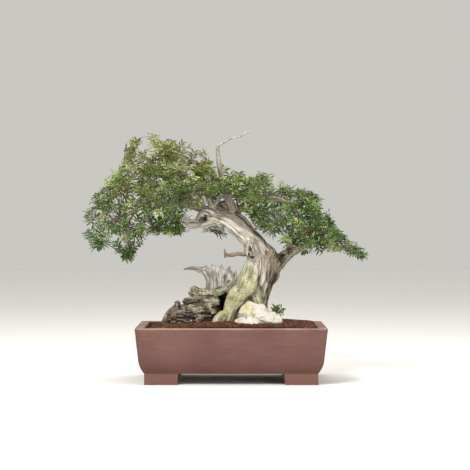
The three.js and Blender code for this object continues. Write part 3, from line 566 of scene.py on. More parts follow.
class Limb:
    """A woody limb: its middle line and thickness, two directions across it, and the kind of its wood."""

    def __init__(self, stations, kind, step=3.0):
        self.kind = kind
        stations = np.asarray(stations, float)
        length = np.linalg.norm(np.diff(stations[:, :3], axis=0), axis=1).sum()
        count = max(5, round(length / step))
        self.middle, self.radius = limb_line(stations, np.linspace(0, 1, count))
        self.along = unit(np.gradient(self.middle, axis=0))
        side = np.array([0.0, 0, 1]) if abs(self.along[0][1]) > 0.9 else np.array([0.0, 1, 0])
        self.side = np.empty_like(self.middle)
        for index, along in enumerate(self.along):
            side = unit(side - along * (side @ along))
            self.side[index] = side
        self.other = np.cross(self.along, self.side)
        self.run = np.append(0, np.cumsum(np.linalg.norm(np.diff(self.middle, axis=0), axis=1)))

    def skin(self, sides=18, ribs=0, depth=0.0, twist=0.0):
        angle = np.arange(sides) * 2 * math.pi / sides
        share = (self.run / self.run[-1])[:, None]
        reach = self.radius[:, None] * (1 + depth * np.cos(ribs * angle + twist * share))
        return round_rings(self.middle, self.side, self.other, reach, sides)

    def read(self, points):
        """Where points lie in this limb's grain: along it, across it twice, and how far off its skin."""
        far = (points**2).sum(1)[:, None] - 2 * points @ self.middle.T + (self.middle**2).sum(1)
        near = far.argmin(1)
        offset = points - self.middle[near]
        along = (offset * self.along[near]).sum(1)
        offset = offset - along[:, None] * self.along[near]
        across = (offset * self.side[near]).sum(1)
        back = (offset * self.other[near]).sum(1)
        gap = np.hypot(across, back) + np.maximum(0, np.abs(along) - 3) - self.radius[near]
        return np.column_stack([self.run[near] + along, across, back, gap])


def grown_together(parts, voxel):
    """One closed skin round overlapping closed parts: its points and its four-cornered faces."""
    points, faces = joined(parts)
    mesh = bpy.data.meshes.new("rough")
    mesh.from_pydata(points.tolist(), [], faces)
    rough = bpy.data.objects.new("rough", mesh)
    bpy.context.scene.collection.objects.link(rough)
    skin = rough.modifiers.new("skin", "REMESH")
    skin.mode = "VOXEL"
    skin.voxel_size = voxel
    whole = rough.evaluated_get(bpy.context.evaluated_depsgraph_get()).to_mesh()
    points = np.empty(len(whole.vertices) * 3, np.float32)
    whole.vertices.foreach_get("co", points)
    corners = np.empty(len(whole.loops), np.int32)
    whole.loops.foreach_get("vertex_index", corners)
    bpy.data.objects.remove(rough)
    return points.reshape(-1, 3).astype(float), corners.reshape(-1, 4)


def gathered(corners, values, count):
    """The sum of the values that meet at each point."""
    return np.stack([np.bincount(corners, values[:, axis], count) for axis in range(3)], 1)


def outwards_of(points, faces):
    """The direction straight out of the surface at each point."""
    slope = np.cross(points[faces[:, 2]] - points[faces[:, 0]], points[faces[:, 3]] - points[faces[:, 1]])
    return unit(gathered(faces.ravel(), np.repeat(slope, 4, 0), len(points)))


def eased(points, faces, ease, rounds):
    """Lets each point settle among its neighbours, most where ease is near 1, so that limbs flow together."""
    sides = np.vstack([faces[:, (0, 1)], faces[:, (1, 2)], faces[:, (2, 3)], faces[:, (3, 0)]])
    first, second = np.vstack([sides, sides[:, ::-1]]).T
    meeting = np.bincount(first, minlength=len(points))[:, None]
    for _ in range(rounds):
        middle = gathered(first, points[second], len(points)) / meeting
        points = points + ease[:, None] * (middle - points)
    return points


# How the surface of each kind of wood is broken up, in millimetres: fibres and cracks of a length, a width
# and a depth, and round bumps of a size and a depth. Thin limbs have less of it, and where two limbs meet in
# a crease, the surface is eased the most.
WOOD_RELIEF = {
    "live": dict(fibre=(56, 8, 1.8), crack=(44, 8, 1.8), bumps=(15, 2.0)),
    "dead": dict(fibre=(100, 7, 2.5), crack=(90, 7, 3.2), bumps=(24, 1.4)),
    "pale": dict(fibre=(40, 6, 1.2), crack=(34, 6, 1.6), bumps=(12, 1.6)),
    "dark": dict(fibre=(34, 8, 2.2), crack=(34, 8, 3.0), bumps=(16, 2.4)),
    "rotten_and_shaded": dict(fibre=(16, 6, 1.8), crack=(14, 6, 2.6), bumps=(10, 2.2)),
    "bough": dict(fibre=(40, 6, 1.0), crack=(34, 5, 1.2), bumps=(13, 1.3)),
}
# The seam's figure deepens only the painted shade along seams between kinds of wood; it moves no point.
FULL_RELIEF_AT, LEAST_RELIEF, CRACK_SHARE, SEAM_SHADE = 11.0, 0.25, 0.24, 1.6
FINE_FIBRE, FINE_FIBRE_SHORTER, FINE_FIBRE_NARROWER, LEDGE_WAVE, LEDGE_WAVE_LENGTH = 0.4, 2, 2.6, 9, 30
CREASE_REACH, EASE_LEAST, EASE_CREASE, EASE_FROM, EASE_OVER = 10.0, 0.06, 0.5, 6.0, 8.0
GRAIN_SHIFT, HOLLOW_RAGGED, HOLLOW_SHADE = 137.0, 0.45, 0.7


def ridges(points, seed):
    """Repeatable sharp ridges, from -1 in the dips to 1 on the crests."""
    return 1 - 2 * np.abs(smooth_noise(points, seed))


def narrow_cracks(points, seed, width):
    """Repeatable cracks: 1 in the middle of a crack, and 0 where it ends."""
    return np.clip(1 - np.abs(smooth_noise(points, seed)) / width, 0, 1)


def wood_relief(kind, grain, seed):
    """How far the surface of a limb stands proud at points of its grain."""
    look = WOOD_RELIEF[kind]
    length, width, depth = look["fibre"]
    total = depth * smooth_noise(grain / (length, width, width), seed)
    length, width = length / FINE_FIBRE_SHORTER, width / FINE_FIBRE_NARROWER
    total = total + FINE_FIBRE * depth * smooth_noise(grain / (length, width, width), seed + 40)
    length, width, depth = look["crack"]
    total = total - depth * narrow_cracks(grain / (length, width, width), seed + 70, CRACK_SHARE)
    size, depth = look["bumps"]
    total = total + depth * smooth_noise(grain / size, seed + 90)
    if "ledges" in look:
        pitch, depth = look["ledges"]
        level = (grain[:, 1] + LEDGE_WAVE * smooth_noise(grain / LEDGE_WAVE_LENGTH, seed + 12)) / pitch
        total = total + depth * (4 * np.abs(level % 1 - 0.5) - 1)
        total = total + depth * ridges(grain / pitch, seed + 15)
    return total


def wood_surface(points, faces, limbs, blend, rounds):
    """Lets limbs flow together, breaks up their surface along the grain, and marks it for its finish."""
    readings = np.stack([limb.read(points) for limb in limbs])
    gaps = readings[..., 3]
    two_nearest = np.partition(gaps, 1, axis=0)[:2]
    crease = np.clip(1 - (two_nearest[1] - two_nearest[0]) / CREASE_REACH, 0, 1)
    nearest = gaps.argmin(0)
    thickness = np.array([np.mean(limb.radius) for limb in limbs])[nearest]
    firm = np.clip((thickness - EASE_FROM) / EASE_OVER, 0.03, 1)
    points = eased(points, faces, (EASE_LEAST + EASE_CREASE * crease) * firm, rounds)
    normals = outwards_of(points, faces)
    shares = np.exp(-(gaps - gaps.min(0)) / blend)
    shares /= shares.sum(0)
    relief = np.zeros(len(points))
    kinds = {kind: np.zeros(len(points)) for kind in WOOD_RELIEF}
    for number, (limb, reading, share) in enumerate(zip(limbs, readings, shares)):
        thin = np.clip(limb.radius.mean() / FULL_RELIEF_AT, LEAST_RELIEF, 1)
        relief += share * thin * wood_relief(limb.kind, reading[:, :3], 7 * number)
        kinds[limb.kind] += share
    grain = readings[nearest, np.arange(len(points)), :3] + nearest[:, None] * GRAIN_SHIFT
    strongest = np.sort(np.stack(list(kinds.values())), axis=0)[-2:]
    # Painted shade: the crevice mark is the low relief, sunk further along the seams between kinds of wood.
    seam = np.clip((strongest[0] - 0.25) / 0.25, 0, 1)
    marks = {"grain": grain, "crevice_shade": relief - SEAM_SHADE * seam, **kinds}
    return points + normals * relief[:, None], normals, marks


def scoop(points, normals, crevice_shade, centre, halves):
    """Presses the surface in to the far side of a ragged hollow, and marks how deep it has gone."""
    off = (points - centre) / halves * (1 + HOLLOW_RAGGED * smooth_noise(points / 5, 31))[:, None]
    inside = (off**2).sum(1) < 1
    way = -normals[inside] / halves
    a, b, c = (way**2).sum(1), (way * off[inside]).sum(1), (off[inside] ** 2).sum(1) - 1
    depth = (-b + np.sqrt(b * b - a * c)) / a
    points[inside] -= normals[inside] * depth[:, None]
    # Painted shade: the deeper the hollow, the darker it is coloured.
    crevice_shade[inside] = np.minimum(crevice_shade[inside], -HOLLOW_SHADE * depth)


def aged_wood(limbs, skins, voxel, hollows, blend=3.0, rounds=26):
    """Limbs grown together into one hollowed body: its points, its faces and the marks of its finish."""
    points, faces = grown_together(skins, voxel)
    points, normals, marks = wood_surface(points, faces, limbs, blend, rounds)
    for centre, halves in hollows:
        scoop(points, normals, marks["crevice_shade"], centre, halves)
    return points, faces, marks


trunk_limbs = [Limb(TRUNK_CORE, "dead"), Limb(LIVE_STRAND, "live"), Limb(DARK_STRAND, "dark")]
trunk_limbs += [Limb(stations, "live") for stations in LIVE_ROOTS]
trunk_limbs += [Limb(stations, "dark") for stations in (*OLD_ROOTS, DARK_KNOT, DEAD_STUB, STUB_END)]
trunk_limbs += [Limb(stations, "rotten_and_shaded") for stations in (SHADED_ROTTEN_ROOT, KNOT_BACK, CLAW_BACK)]
trunk_limbs += [Limb(stations, "dead") for stations in CLAW]
trunk_limbs += [Limb(stations, "pale") for stations in (*KNOTS, PALE_RIDGE, KNOT_RIM, DEAD_BRANCH)]
trunk_skins = [
    trunk_limbs[0].skin(36, ribs=5, depth=0.09, twist=2.4),
    trunk_limbs[1].skin(32, ribs=5, depth=0.09, twist=-1.6),
    trunk_limbs[2].skin(30, ribs=4, depth=0.09),
    *[limb.skin() for limb in trunk_limbs[3:]],
]
trunk_points, trunk_faces, trunk_marks = aged_wood(trunk_limbs, trunk_skins, TRUNK_VOXEL, HOLLOWS)

wood = Finish("bark_and_weathered_wood", IOR=1.4)
grain = wood.mark("grain", "Vector")
place = wood.place()
height = wood.height(place)
patches, blotches, specks = wood.noise(place, 36, 4), wood.noise(place, 95, 3), wood.noise(place, 300, 3, 0.7)
streaks, fine_streaks = wood.grained(grain, 26, 2.2), wood.grained(grain, 9, 0.7, 2)
weathering = wood.grained(grain, 70, 6) * 0.5 + streaks * 0.5
roughened = (weathering * 0.6 + specks * 0.4).rise(0.4, 0.58)
granular = (weathering * 0.35 + specks * 0.65).rise(0.4, 0.58)
lichen = patches.rise(0.5, 0.6) * specks.rise(0.42, 0.55) * height.rise(0.215, 0.19)
dead_colour = wood.coats(
    wood.mix(weathering.rise(0.4, 0.58), (106, 97, 83), (224, 218, 203)),
    (patches.rise(0.5, 0.72) * 0.4, (150, 140, 112)),
)
green_colour = wood.coats(
    wood.mix(granular, (110, 106, 76), (204, 199, 166)),
    (patches.rise(0.44, 0.6) * 0.45, (162, 159, 106)),
    (lichen * 0.8, (164, 159, 84)),
    (blotches.rise(0.54, 0.66) * 0.6, (184, 180, 164)),
)
dark_colour = wood.coats(
    wood.mix(roughened, (78, 65, 52), (160, 146, 125)),
    (blotches.rise(0.5, 0.66) * 0.5, (112, 96, 80)),
)
pale_colour = wood.coats(
    wood.mix(roughened, (98, 90, 78), (200, 193, 178)),
    (blotches.rise(0.46, 0.6) * 0.5, (132, 124, 106)),
)
wood_colour = wood.coats(
    dead_colour,
    (wood.mark("live") * (height + patches * 0.06).rise(0.33, 0.28), green_colour),
    (wood.mark("dark"), dark_colour),
    (wood.mark("bough"), wood.mix(roughened, (84, 72, 60), (170, 160, 142))),
    (wood.mark("pale"), pale_colour),
    # Rotten wood, whose dark colour is partly painted shade in the recesses where it lies.
    (wood.mark("rotten_and_shaded"), wood.mix(blotches.rise(0.4, 0.6), (48, 38, 27), (118, 102, 74))),
    (fine_streaks.rise(0.52, 0.7) * 0.4, (78, 68, 54)),
    # Painted shade: cracks, seams and hollows are coloured dark brown.
    (wood.mark("crevice_shade").rise(0.0, -3.2) * 0.9, (44, 35, 26)),
)
wood_bump = wood.relief(streaks + fine_streaks * 0.6 + specks * 0.7, 0.0015, 0.8)
wood.apply(wood_colour, 0.76 + streaks * 0.18, wood_bump)

TWIG_SIDES, TWIG_BUMPS = 8, 0.35
dead_twig = Limb(DEAD_TWIG, "pale", 2.0)
twig_points, twig_faces = dead_twig.skin(TWIG_SIDES)
twig_outwards = unit(twig_points - np.repeat(dead_twig.middle, TWIG_SIDES, 0))
trunk_marks["grain"] = np.vstack([trunk_marks["grain"], dead_twig.read(twig_points)[:, :3]])
for mark in ("crevice_shade", *WOOD_RELIEF):
    trunk_marks[mark] = np.append(trunk_marks[mark], np.full(len(twig_points), float(mark == "pale")))
twig_points = twig_points + TWIG_BUMPS * smooth_noise(twig_points / 5, 4)[:, None] * twig_outwards
trunk_parts = [(trunk_points, trunk_faces), (twig_points, twig_faces)]
trunk = make_piece("trunk", *joined(trunk_parts), wood.material, marks=trunk_marks)
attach(trunk, "root")
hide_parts("tree")

# Old stump: what is left of an older trunk beside the live one. Its base is dark and cracked, with slabs that
# flake off level. A weathered log lies over it, and on that stands a sheet of bleached, splintered wood.
STUMP_RIDGE = [
    (-152, -4, 114, 15), (-151, -5, 140, 14), (-144, -6, 155, 13), (-133, -6, 170, 10), (-127, -6, 187, 4.5),
]
STUMP_LOG = [
    (-99, -10, 215, 10), (-90, -11, 212, 15), (-74, -12, 208, 13), (-46, -12, 209, 14), (-18, -11, 220, 13),
    (-2, -10, 229, 10), (15, -8, 236, 4),
]
STUMP_FAN = [
    [(-52, -14, 212, 10), (-53, -15, 240, 9), (-63, -15, 259, 8), (-80, -15, 268, 5)],
    [(-50, -12, 212, 9), (-54, -13, 242, 8), (-60, -13, 267, 5), (-65, -14, 280, 1.4)],
    [(-45, -13, 212, 9), (-47, -15, 244, 7), (-50, -15, 262, 4), (-53, -16, 269, 2)],
    [(-39, -12, 212, 9), (-41, -13, 246, 7), (-43, -13, 269, 4.5), (-47, -12, 276, 1.8)],
    [(-34, -13, 212, 9), (-33, -15, 246, 7), (-34, -16, 268, 4), (-33, -16, 273, 2.4)],
    [(-28, -12, 213, 9), (-25, -14, 246, 7), (-25, -14, 266, 4.5), (-21, -13, 279, 1.4)],
    [(-22, -13, 214, 9), (-18, -15, 244, 7), (-15, -16, 259, 4), (-16, -16, 265, 2.2)],
    [(-16, -12, 217, 9), (-9, -12, 242, 7), (-6, -12, 264, 4.5), (-3, -12, 273, 1.8)],
    [(-10, -12, 220, 9), (-1, -15, 238, 6), (4, -15, 254, 4), (2, -15, 260, 2.2)],
    [(-5, -10, 224, 8), (6, -10, 236, 5), (11, -10, 249, 3.5), (10, -10, 264, 1.4)],
]
FAN_SPIKE = [(-72, -18, 263, 8), (-88, -19, 268, 5.5), (-100, -19, 268, 3.8), (-114, -19, 265, 1.8)]
FAN_THIN, FAN_TOP = 0.95, 0.9
# Hollows pressed into the stump, painted dark inside as shade; the largest, last, darkens the recess behind
# the roots.
STUMP_HOLLOWS = [
    ((-16, -22, 248), (4, 5, 7)), ((-12, -22, 241), (5, 5, 6)), ((-6, -20, 235), (5, 5, 4)),
    ((-82, -24, 221), (5, 7, 4)), ((-123, -20, 176), (4, 12, 9)), ((-60, -42, 160), (14, 9, 4)),
    ((-104, -46, 150), (16, 9, 4)), ((-40, -30, 174), (10, 12, 5)), ((-15, 4, 188), (13, 24, 26)),
]
STUMP_VOXEL, LUMP_FINENESS, LUMP_FLAT, LUMP_BUMPS, GRAIN_SKEW, GRAIN_FLAT = 1.2, 4, 0.8, 2.2, 0.6, 0.5
WOOD_RELIEF["layered"] = dict(fibre=(18, 8, 2.4), crack=(16, 9, 3.4), bumps=(17, 3.6), ledges=(8, 1.6))
WOOD_RELIEF["slab"] = dict(fibre=(24, 6, 1.8), crack=(18, 7, 3.0), bumps=(13, 2.8), ledges=(6, 1.2))
WOOD_RELIEF["log"] = dict(fibre=(24, 7, 1.6), crack=(18, 8, 2.4), bumps=(9, 2.4))
WOOD_RELIEF["bleached"] = dict(fibre=(70, 2.4, 0.5), crack=(60, 2.8, 0.5), bumps=(16, 1.0))


class Lump:
    """A rounded block of wood or stone, whose grain runs level from side to side."""

    def __init__(self, centre, halves, kind, block, rough, seed):
        self.centre, self.halves, self.kind = np.array(centre, float), np.array(halves, float), kind
        self.block, self.rough, self.seed = block, rough, seed
        self.radius = self.halves

    def skin(self):
        points, faces = ball(LUMP_FINENESS)
        flat = np.abs(points).max(1)
        reach = 1 - self.block + LUMP_FLAT * self.block / flat
        reach = reach * (1 + self.rough * smooth_noise(points * LUMP_BUMPS, self.seed))
        return self.centre + self.halves * points * reach[:, None], faces

    def read(self, points):
        offset = points - self.centre
        gap = (np.linalg.norm(offset / self.halves, axis=1) - 1) * self.halves.min()
        along = offset[:, 0] + GRAIN_SKEW * offset[:, 1]
        return np.column_stack([along, offset[:, 2], GRAIN_FLAT * offset[:, 1], gap])


def fan_web(left, right, rings=12):
    """The thin sheet of wood that joins two splinters next to each other, up to where their tips part."""
    shares = np.linspace(0, FAN_TOP, rings)
    (near, near_radius), (far, far_radius) = limb_line(left, shares), limb_line(right, shares)
    near_depth = FAN_THIN * near_radius[:, None] * (0, 1, 0)
    far_depth = FAN_THIN * far_radius[:, None] * (0, 1, 0)
    corners = np.stack([near + near_depth, near - near_depth, far - far_depth, far + far_depth], 1)
    return corners.reshape(-1, 3), loft_faces(rings, 4)


stump_bodies = [
    Lump((-96, -4, 146), (62, 46, 30), "layered", 0.4, 0.11, 3),
    Lump((-80, -9, 170), (50, 42, 14), "slab", 0.7, 0.13, 11),
    Lump((-70, -4, 187), (52, 34, 12), "slab", 0.7, 0.12, 7),
    # This lump fills the recess behind the roots in the base's dark colour, and the hollow pressed into it is
    # painted shade.
    Lump((-20, 22, 178), (28, 20, 34), "layered", 0.4, 0.12, 15),
    Limb(STUMP_RIDGE, "layered"), Limb(STUMP_LOG, "log"), Limb(FAN_SPIKE, "bleached"),
]
stump_bodies += [Limb(stations, "bleached") for stations in STUMP_FAN]
stump_skins = [body.skin() for body in stump_bodies]
stump_skins += [fan_web(left, right) for left, right in zip(STUMP_FAN, STUMP_FAN[1:])]
stump_points, stump_faces, stump_marks = aged_wood(
    stump_bodies, stump_skins, STUMP_VOXEL, STUMP_HOLLOWS, blend=2.0, rounds=6
)

old_wood = Finish("old_stump_wood", IOR=1.4)
grain, place = old_wood.mark("grain", "Vector"), old_wood.place()
layered, slab, log = old_wood.mark("layered"), old_wood.mark("slab"), old_wood.mark("log")
patches, flecks = old_wood.noise(place, 46, 4), old_wood.noise(place, 170, 3, 0.6)
streaks = old_wood.grained(grain, 24, 1.8)
fine_grain = streaks * 0.5 + old_wood.grained(grain, 60, 5, 2, 0.5) * 0.5
speckled = streaks * 0.5 + flecks * 0.5
bleached_colour = old_wood.coats(
    old_wood.mix(fine_grain.rise(0.4, 0.6), (94, 88, 80), (184, 180, 172)),
    (patches.rise(0.5, 0.62) * 0.65, (100, 90, 80)),
)
log_colour = old_wood.coats(
    old_wood.mix(speckled.rise(0.42, 0.56), (72, 67, 46), (176, 172, 140)),
    (patches.rise(0.5, 0.66) * 0.5, (122, 124, 84)),
)
slab_colour = old_wood.coats(
    old_wood.mix(patches.rise(0.42, 0.6), (84, 72, 58), (168, 160, 138)),
    (flecks.rise(0.52, 0.62) * 0.6, (66, 54, 43)),
)
base_colour = old_wood.coats(
    old_wood.mix(patches.rise(0.38, 0.64), (54, 44, 35), (120, 105, 88)),
    (flecks.rise(0.58, 0.66) * 0.85, (196, 188, 170)),
)
# Painted shade in the stump's cracks and hollows, strongest on the log, the slabs and the base.
shade = old_wood.mark("crevice_shade").rise(-0.3, -2.6) * (0.5 + (layered + slab + log) * 0.42)
stump_colour = old_wood.coats(
    bleached_colour, (log, log_colour), (slab, slab_colour), (layered, base_colour), (shade, (38, 30, 23))
)
old_wood.apply(stump_colour, 0.8 + flecks * 0.15, old_wood.relief(streaks + flecks, 0.0015, 0.8))
stump = make_piece("old_stump", stump_points, stump_faces.tolist(), old_wood.material, marks=stump_marks)
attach(stump, "root")
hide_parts("tree")

# Boughs: the living limbs that the trunk ends in, trained level with wire when they were young. They taper
# from the trunk outwards, with grey-brown bark, and fork into the slim branches that carry the leaves.
BOUGHS = {
    "left": [
        (-46, 0, 400, 13), (-72, 3, 411, 11), (-99, 4, 419, 10), (-142, 6, 424, 8), (-183, 4, 418, 6.5),
        (-224, 0, 406, 5.5), (-267, -3, 391, 4.5), (-300, -4, 376, 3.2),
    ],
    "upper_left": [
        (-84, 3, 414, 8), (-128, 10, 450, 7), (-160, 12, 484, 5.5), (-185, 8, 512, 4.2), (-200, 4, 530, 3),
    ],
    "top": [(-40, 2, 402, 9), (-58, 8, 446, 7), (-76, 10, 484, 5), (-92, 6, 514, 4), (-104, 4, 530, 3)],
    "right": [
        (4, 4, 390, 11), (26, 9, 414, 8.5), (60, 12, 434, 7), (102, 8, 436, 6), (146, 2, 420, 5),
        (184, -2, 404, 4), (212, -4, 384, 3),
    ],
    "low": [
        (92, 2, 268, 17), (112, 4, 276, 15), (128, 6, 290, 12), (148, 8, 306, 10), (174, 10, 318, 8),
        (208, 8, 326, 6.5), (244, 4, 322, 5), (280, 0, 310, 3.5),
    ],
    "inner": [(134, 6, 294, 7), (141, 2, 334, 5.5), (147, -2, 362, 4.5), (164, -4, 382, 3)],
}
BOUGH_FOOT = [(106, -3, 280, 14), (122, -4, 297, 13), (138, -2, 310, 8)]
BOUGH_HOLLOWS = [((121, -15, 291), (7, 12, 13)), ((140, -9, 303), (8, 7, 5)), ((107, -12, 300), (6, 9, 7))]
BOUGH_VOXEL = 1.3

bough_limbs = {name: Limb(stations, "bough") for name, stations in BOUGHS.items()}
bough_list = [*bough_limbs.values(), Limb(BOUGH_FOOT, "dark")]
bough_skins = [limb.skin(16) for limb in bough_list]
bough_points, bough_faces, bough_marks = aged_wood(
    bough_list, bough_skins, BOUGH_VOXEL, BOUGH_HOLLOWS, rounds=8
)
boughs = make_piece("boughs", bough_points, bough_faces.tolist(), wood.material, marks=bough_marks)
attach(boughs, "root")
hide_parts("tree")

# Branches: slim branches with red-brown bark, one to each leafy spray. Each leaves its bough along the
# bough's own way, then bends outwards and up to the light.
SPRAYS = [
    ("upper_left", 0.95, (-226, 0, 549)), ("upper_left", 0.8, (-180, -36, 550)),
    ("top", 0.95, (-134, 26, 550)), ("top", 0.9, (-94, -24, 534)), ("upper_left", 0.66, (-192, 62, 500)),
    ("top", 0.6, (-116, -60, 496)), ("top", 0.45, (-50, 56, 478)), ("upper_left", 0.4, (-142, 84, 466)),
    ("upper_left", 0.5, (-208, -62, 484)), ("upper_left", 0.72, (-258, 30, 490)),
    ("left", 0.7, (-290, 44, 438)), ("left", 0.66, (-262, -64, 440)),
    ("left", 0.45, (-194, -96, 432)), ("left", 0.5, (-212, 92, 424)), ("left", 0.3, (-142, -84, 446)),
    ("top", 0.3, (-80, -66, 456)), ("left", 0.98, (-324, 12, 388)), ("left", 0.85, (-280, -68, 380)),
    ("left", 0.8, (-254, 66, 370)), ("left", 0.56, (-204, -36, 380)), ("left", 0.4, (-152, 50, 384)),
    ("left", 0.9, (-318, -30, 346)), ("left", 0.74, (-256, -20, 324)), ("left", 0.36, (-150, -40, 388)),
    ("left", 0.1, (-54, 40, 372)), ("right", 0.1, (-12, -34, 474)), ("right", 0.2, (30, 20, 460)),
    ("right", 0.45, (86, 46, 454)), ("right", 0.42, (84, -54, 438)), ("right", 0.7, (136, 24, 434)),
    ("right", 0.78, (180, -44, 408)), ("right", 0.97, (222, 20, 372)), ("right", 0.34, (64, -50, 402)),
    ("right", 0.55, (112, 80, 400)), ("inner", 0.7, (128, -62, 390)), ("inner", 0.95, (190, -60, 362)),
    ("inner", 0.9, (176, 62, 366)), ("low", 0.97, (297, -8, 306)), ("low", 0.85, (270, 44, 334)),
    ("low", 0.76, (240, -52, 332)), ("low", 0.52, (184, 58, 336)), ("upper_left", 0.86, (-206, -20, 530)),
    ("top", 0.78, (-134, -20, 522)), ("top", 0.66, (-72, -30, 496)), ("right", 0.24, (20, -40, 446)),
    ("right", 0.5, (76, -6, 464)), ("right", 0.9, (198, -26, 420)), ("low", 0.7, (236, 6, 358)),
]
SPRAY_STEM, STEM_RADIUS, STEM_CLEAR = 30.0, 2.3, 0.4
TWIG_FOLLOW, TWIG_RISE, TWIG_BEND, TWIG_BEND_AT = 0.35, 0.15, 0.14, 0.55
TWIG_SHARE, TWIG_THICKEST, BRANCH_SIDES, BRANCH_SWAY, BRANCH_SWELL = 0.7, 3.2, 8, 2.2, 0.22
BRANCH_SLIMNESS, BRANCH_STEP = (0.9, 0.75, 0.62), 3.5


def branch_of(bough, share, centre):
    """The stations of the slim branch to a spray's middle, and the way that the spray points."""
    (before, start, after), radii = limb_line(BOUGHS[bough], np.array([share - 1e-4, share, share + 1e-4]))
    along = unit(after - before)
    out = np.array(centre, float) - start
    lean = unit(unit(out) + TWIG_FOLLOW * along + (0, 0, TWIG_RISE))
    end = np.array(centre, float) - lean * SPRAY_STEM / 2
    bend = start + (end - start) * TWIG_BEND_AT + along * TWIG_BEND * np.linalg.norm(out)
    radius = min(TWIG_SHARE * radii[1], TWIG_THICKEST)
    stations = [(*start, radius), (*bend, 0.8 * radius), (*end, STEM_RADIUS)]
    near_end, _ = limb_line(stations, np.array([1 - 1e-4, 1.0]))
    return stations, unit(near_end[1] - near_end[0])


branches = [branch_of(*spray) for spray in SPRAYS]
branch_parts = []
for number, (stations, _) in enumerate(branches):
    slim = [(x, y, z, radius * thin) for (x, y, z, radius), thin in zip(stations, BRANCH_SLIMNESS)]
    branch = Limb(slim, "bough", BRANCH_STEP)
    sway = np.sin(np.linspace(0, math.pi, len(branch.middle)))[:, None]
    drift = np.stack([smooth_noise(branch.middle / 14, 60 + axis) for axis in range(3)], 1)
    branch.middle += BRANCH_SWAY * sway * drift
    points, faces = branch.skin(BRANCH_SIDES)
    swell = 1 + BRANCH_SWELL * smooth_noise(points / 4.5, number)[:, None]
    middles = np.repeat(branch.middle, BRANCH_SIDES, 0)
    branch_parts.append((middles + (points - middles) * swell, faces))

twig_bark = Finish("red_brown_twig_bark", IOR=1.4)
place = twig_bark.place()
buds, patches = twig_bark.noise(place, 300, 3), twig_bark.noise(place, 45, 3)
bark_colour = twig_bark.coats(
    twig_bark.mix(patches.rise(0.35, 0.65), (96, 66, 52), (132, 112, 94)),
    (buds.rise(0.55, 0.7) * 0.5, (66, 46, 38)),
)
twig_bark.apply(bark_colour, 0.6 + buds * 0.2, twig_bark.relief(buds, 0.0005, 0.5))
slim_branches = make_piece("slim_branches", *joined(branch_parts), twig_bark.material)
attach(slim_branches, "root")
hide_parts("tree")

# Leafy sprays: each spray is a tuft of thin red-brown shoots with small compound leaves set round them, and
# a leaf is two or three pairs of narrow leathery leaflets on a fine rachis. The young ones are yellow-green.
LEAFLET_LENGTH, LEAFLET_HALF_WIDTH, LEAFLET_FOLD, LEAFLET_THICK = 17.0, 2.5, 0.34, 0.14
LEAF_STALK, LEAF_PAIR_GAP, LEAF_ARCH, LEAFLET_ANGLE, LEAFLET_CLOSING = 5.0, 6.8, 50.0, 64, 11
SHOOT_SHARE, SHOOT_SHORTEST, SHOOT_SPARE = 0.74, 9.0, 8.0
TUFT_TIPS, TIPS_APART, SPIRAL_TURN, SHOOT_RISE, LEAF_TRIES = 3, math.radians(55), 2.4, 0.1, 6
LEAF_OPENING, LEAF_PAIRS, INNER_SHOOT, END_SHOOT = (44, 66), [2, 2, 3, 3], (26, 42), 16
LEAFLET_STRAY, LEAFLET_SIZES, LEAFLET_DROOP, LEAF_SIZES = 9, (0.85, 1.08), 0.09, (0.82, 1.06)
LEAF_LIGHT, LEAFLET_LIGHT, PAINTED_LIGHT_FROM, PAINTED_LIGHT_OVER = (-0.14, 0.6), (0.05, 0.5), 400, 900
FIRST_LEAF, ASKEW, SPRAY_SEED = 0.22, (0.31, 0.52, 0.79), 500
BARE_MARGIN, BARE_TOP, BARE_TIP = 1.5, 440.0, 490.0
YOUTH_FROM, YOUTH_OVER, YOUTH_LEAST, YOUTH_MOST = 440.0, 150.0, 0.08, 0.62
WAIST = [(0.2, 0.72), (0.5, 1.0), (0.8, 0.66)]
# The crown's outline from the front, as it is kept trimmed: how low and how high the leaves reach at each x.
CROWN = np.array([
    (-364, 354, 402), (-339, 313, 441), (-315, 306, 469), (-291, 318, 498), (-267, 287, 527),
    (-253, 282, 577), (-234, 282, 589), (-214, 318, 597), (-186, 345, 599), (-166, 340, 580),
    (-123, 343, 576), (-99, 345, 590), (-64, 343, 590), (-54, 343, 560), (-42, 340, 527), (-13, 340, 522),
    (21, 335, 508), (45, 330, 486), (78, 325, 510), (117, 311, 484), (155, 301, 465), (184, 292, 462),
    (208, 296, 445), (237, 294, 407), (261, 294, 358), (290, 287, 342), (309, 280, 322), (328, 288, 306),
    (345, 294, 300),
])
CROWN_FLOOR, CROWN_RAGGED = 220.0, 11.0


def leaflet_shape():
    """One leaflet of length 1 along X: a blade folded along its midrib, with a slightly thicker middle."""
    points = [(0, 0, 0)]
    for x, width in WAIST:
        points += [(x, side * width, LEAFLET_FOLD * abs(side) * width) for side in (1, 0, -1)]
    points += [(1, 0, 0)] + [(x, 0, -LEAFLET_THICK) for x, _ in WAIST]
    upper = [(0, 2, 1), (0, 3, 2), (8, 10, 7), (9, 10, 8)]
    for left, middle, right in ((1, 2, 3), (4, 5, 6)):
        upper += [(middle, middle + 3, left), (middle + 3, left + 3, left)]
        upper += [(right, right + 3, middle + 3), (right, middle + 3, middle)]
    below = {2: 11, 5: 12, 8: 13}
    lower = [tuple(below.get(point, point) for point in face)[::-1] for face in upper]
    return np.array(points), np.array(upper + lower)


BLADE_POINTS, BLADE_FACES = leaflet_shape()
BLADE_TIP, BLADE_EDGE, BLADE_BELOW = 10, 4, 11
BLADE_MIDRIB = np.isin(np.arange(len(BLADE_POINTS)), (2, 5, 8, 11, 12, 13)).astype(float)
BLADE_UNDER = (np.arange(len(BLADE_POINTS)) >= BLADE_BELOW).astype(float)
BLADE_OUTLINE = BLADE_MIDRIB == 0

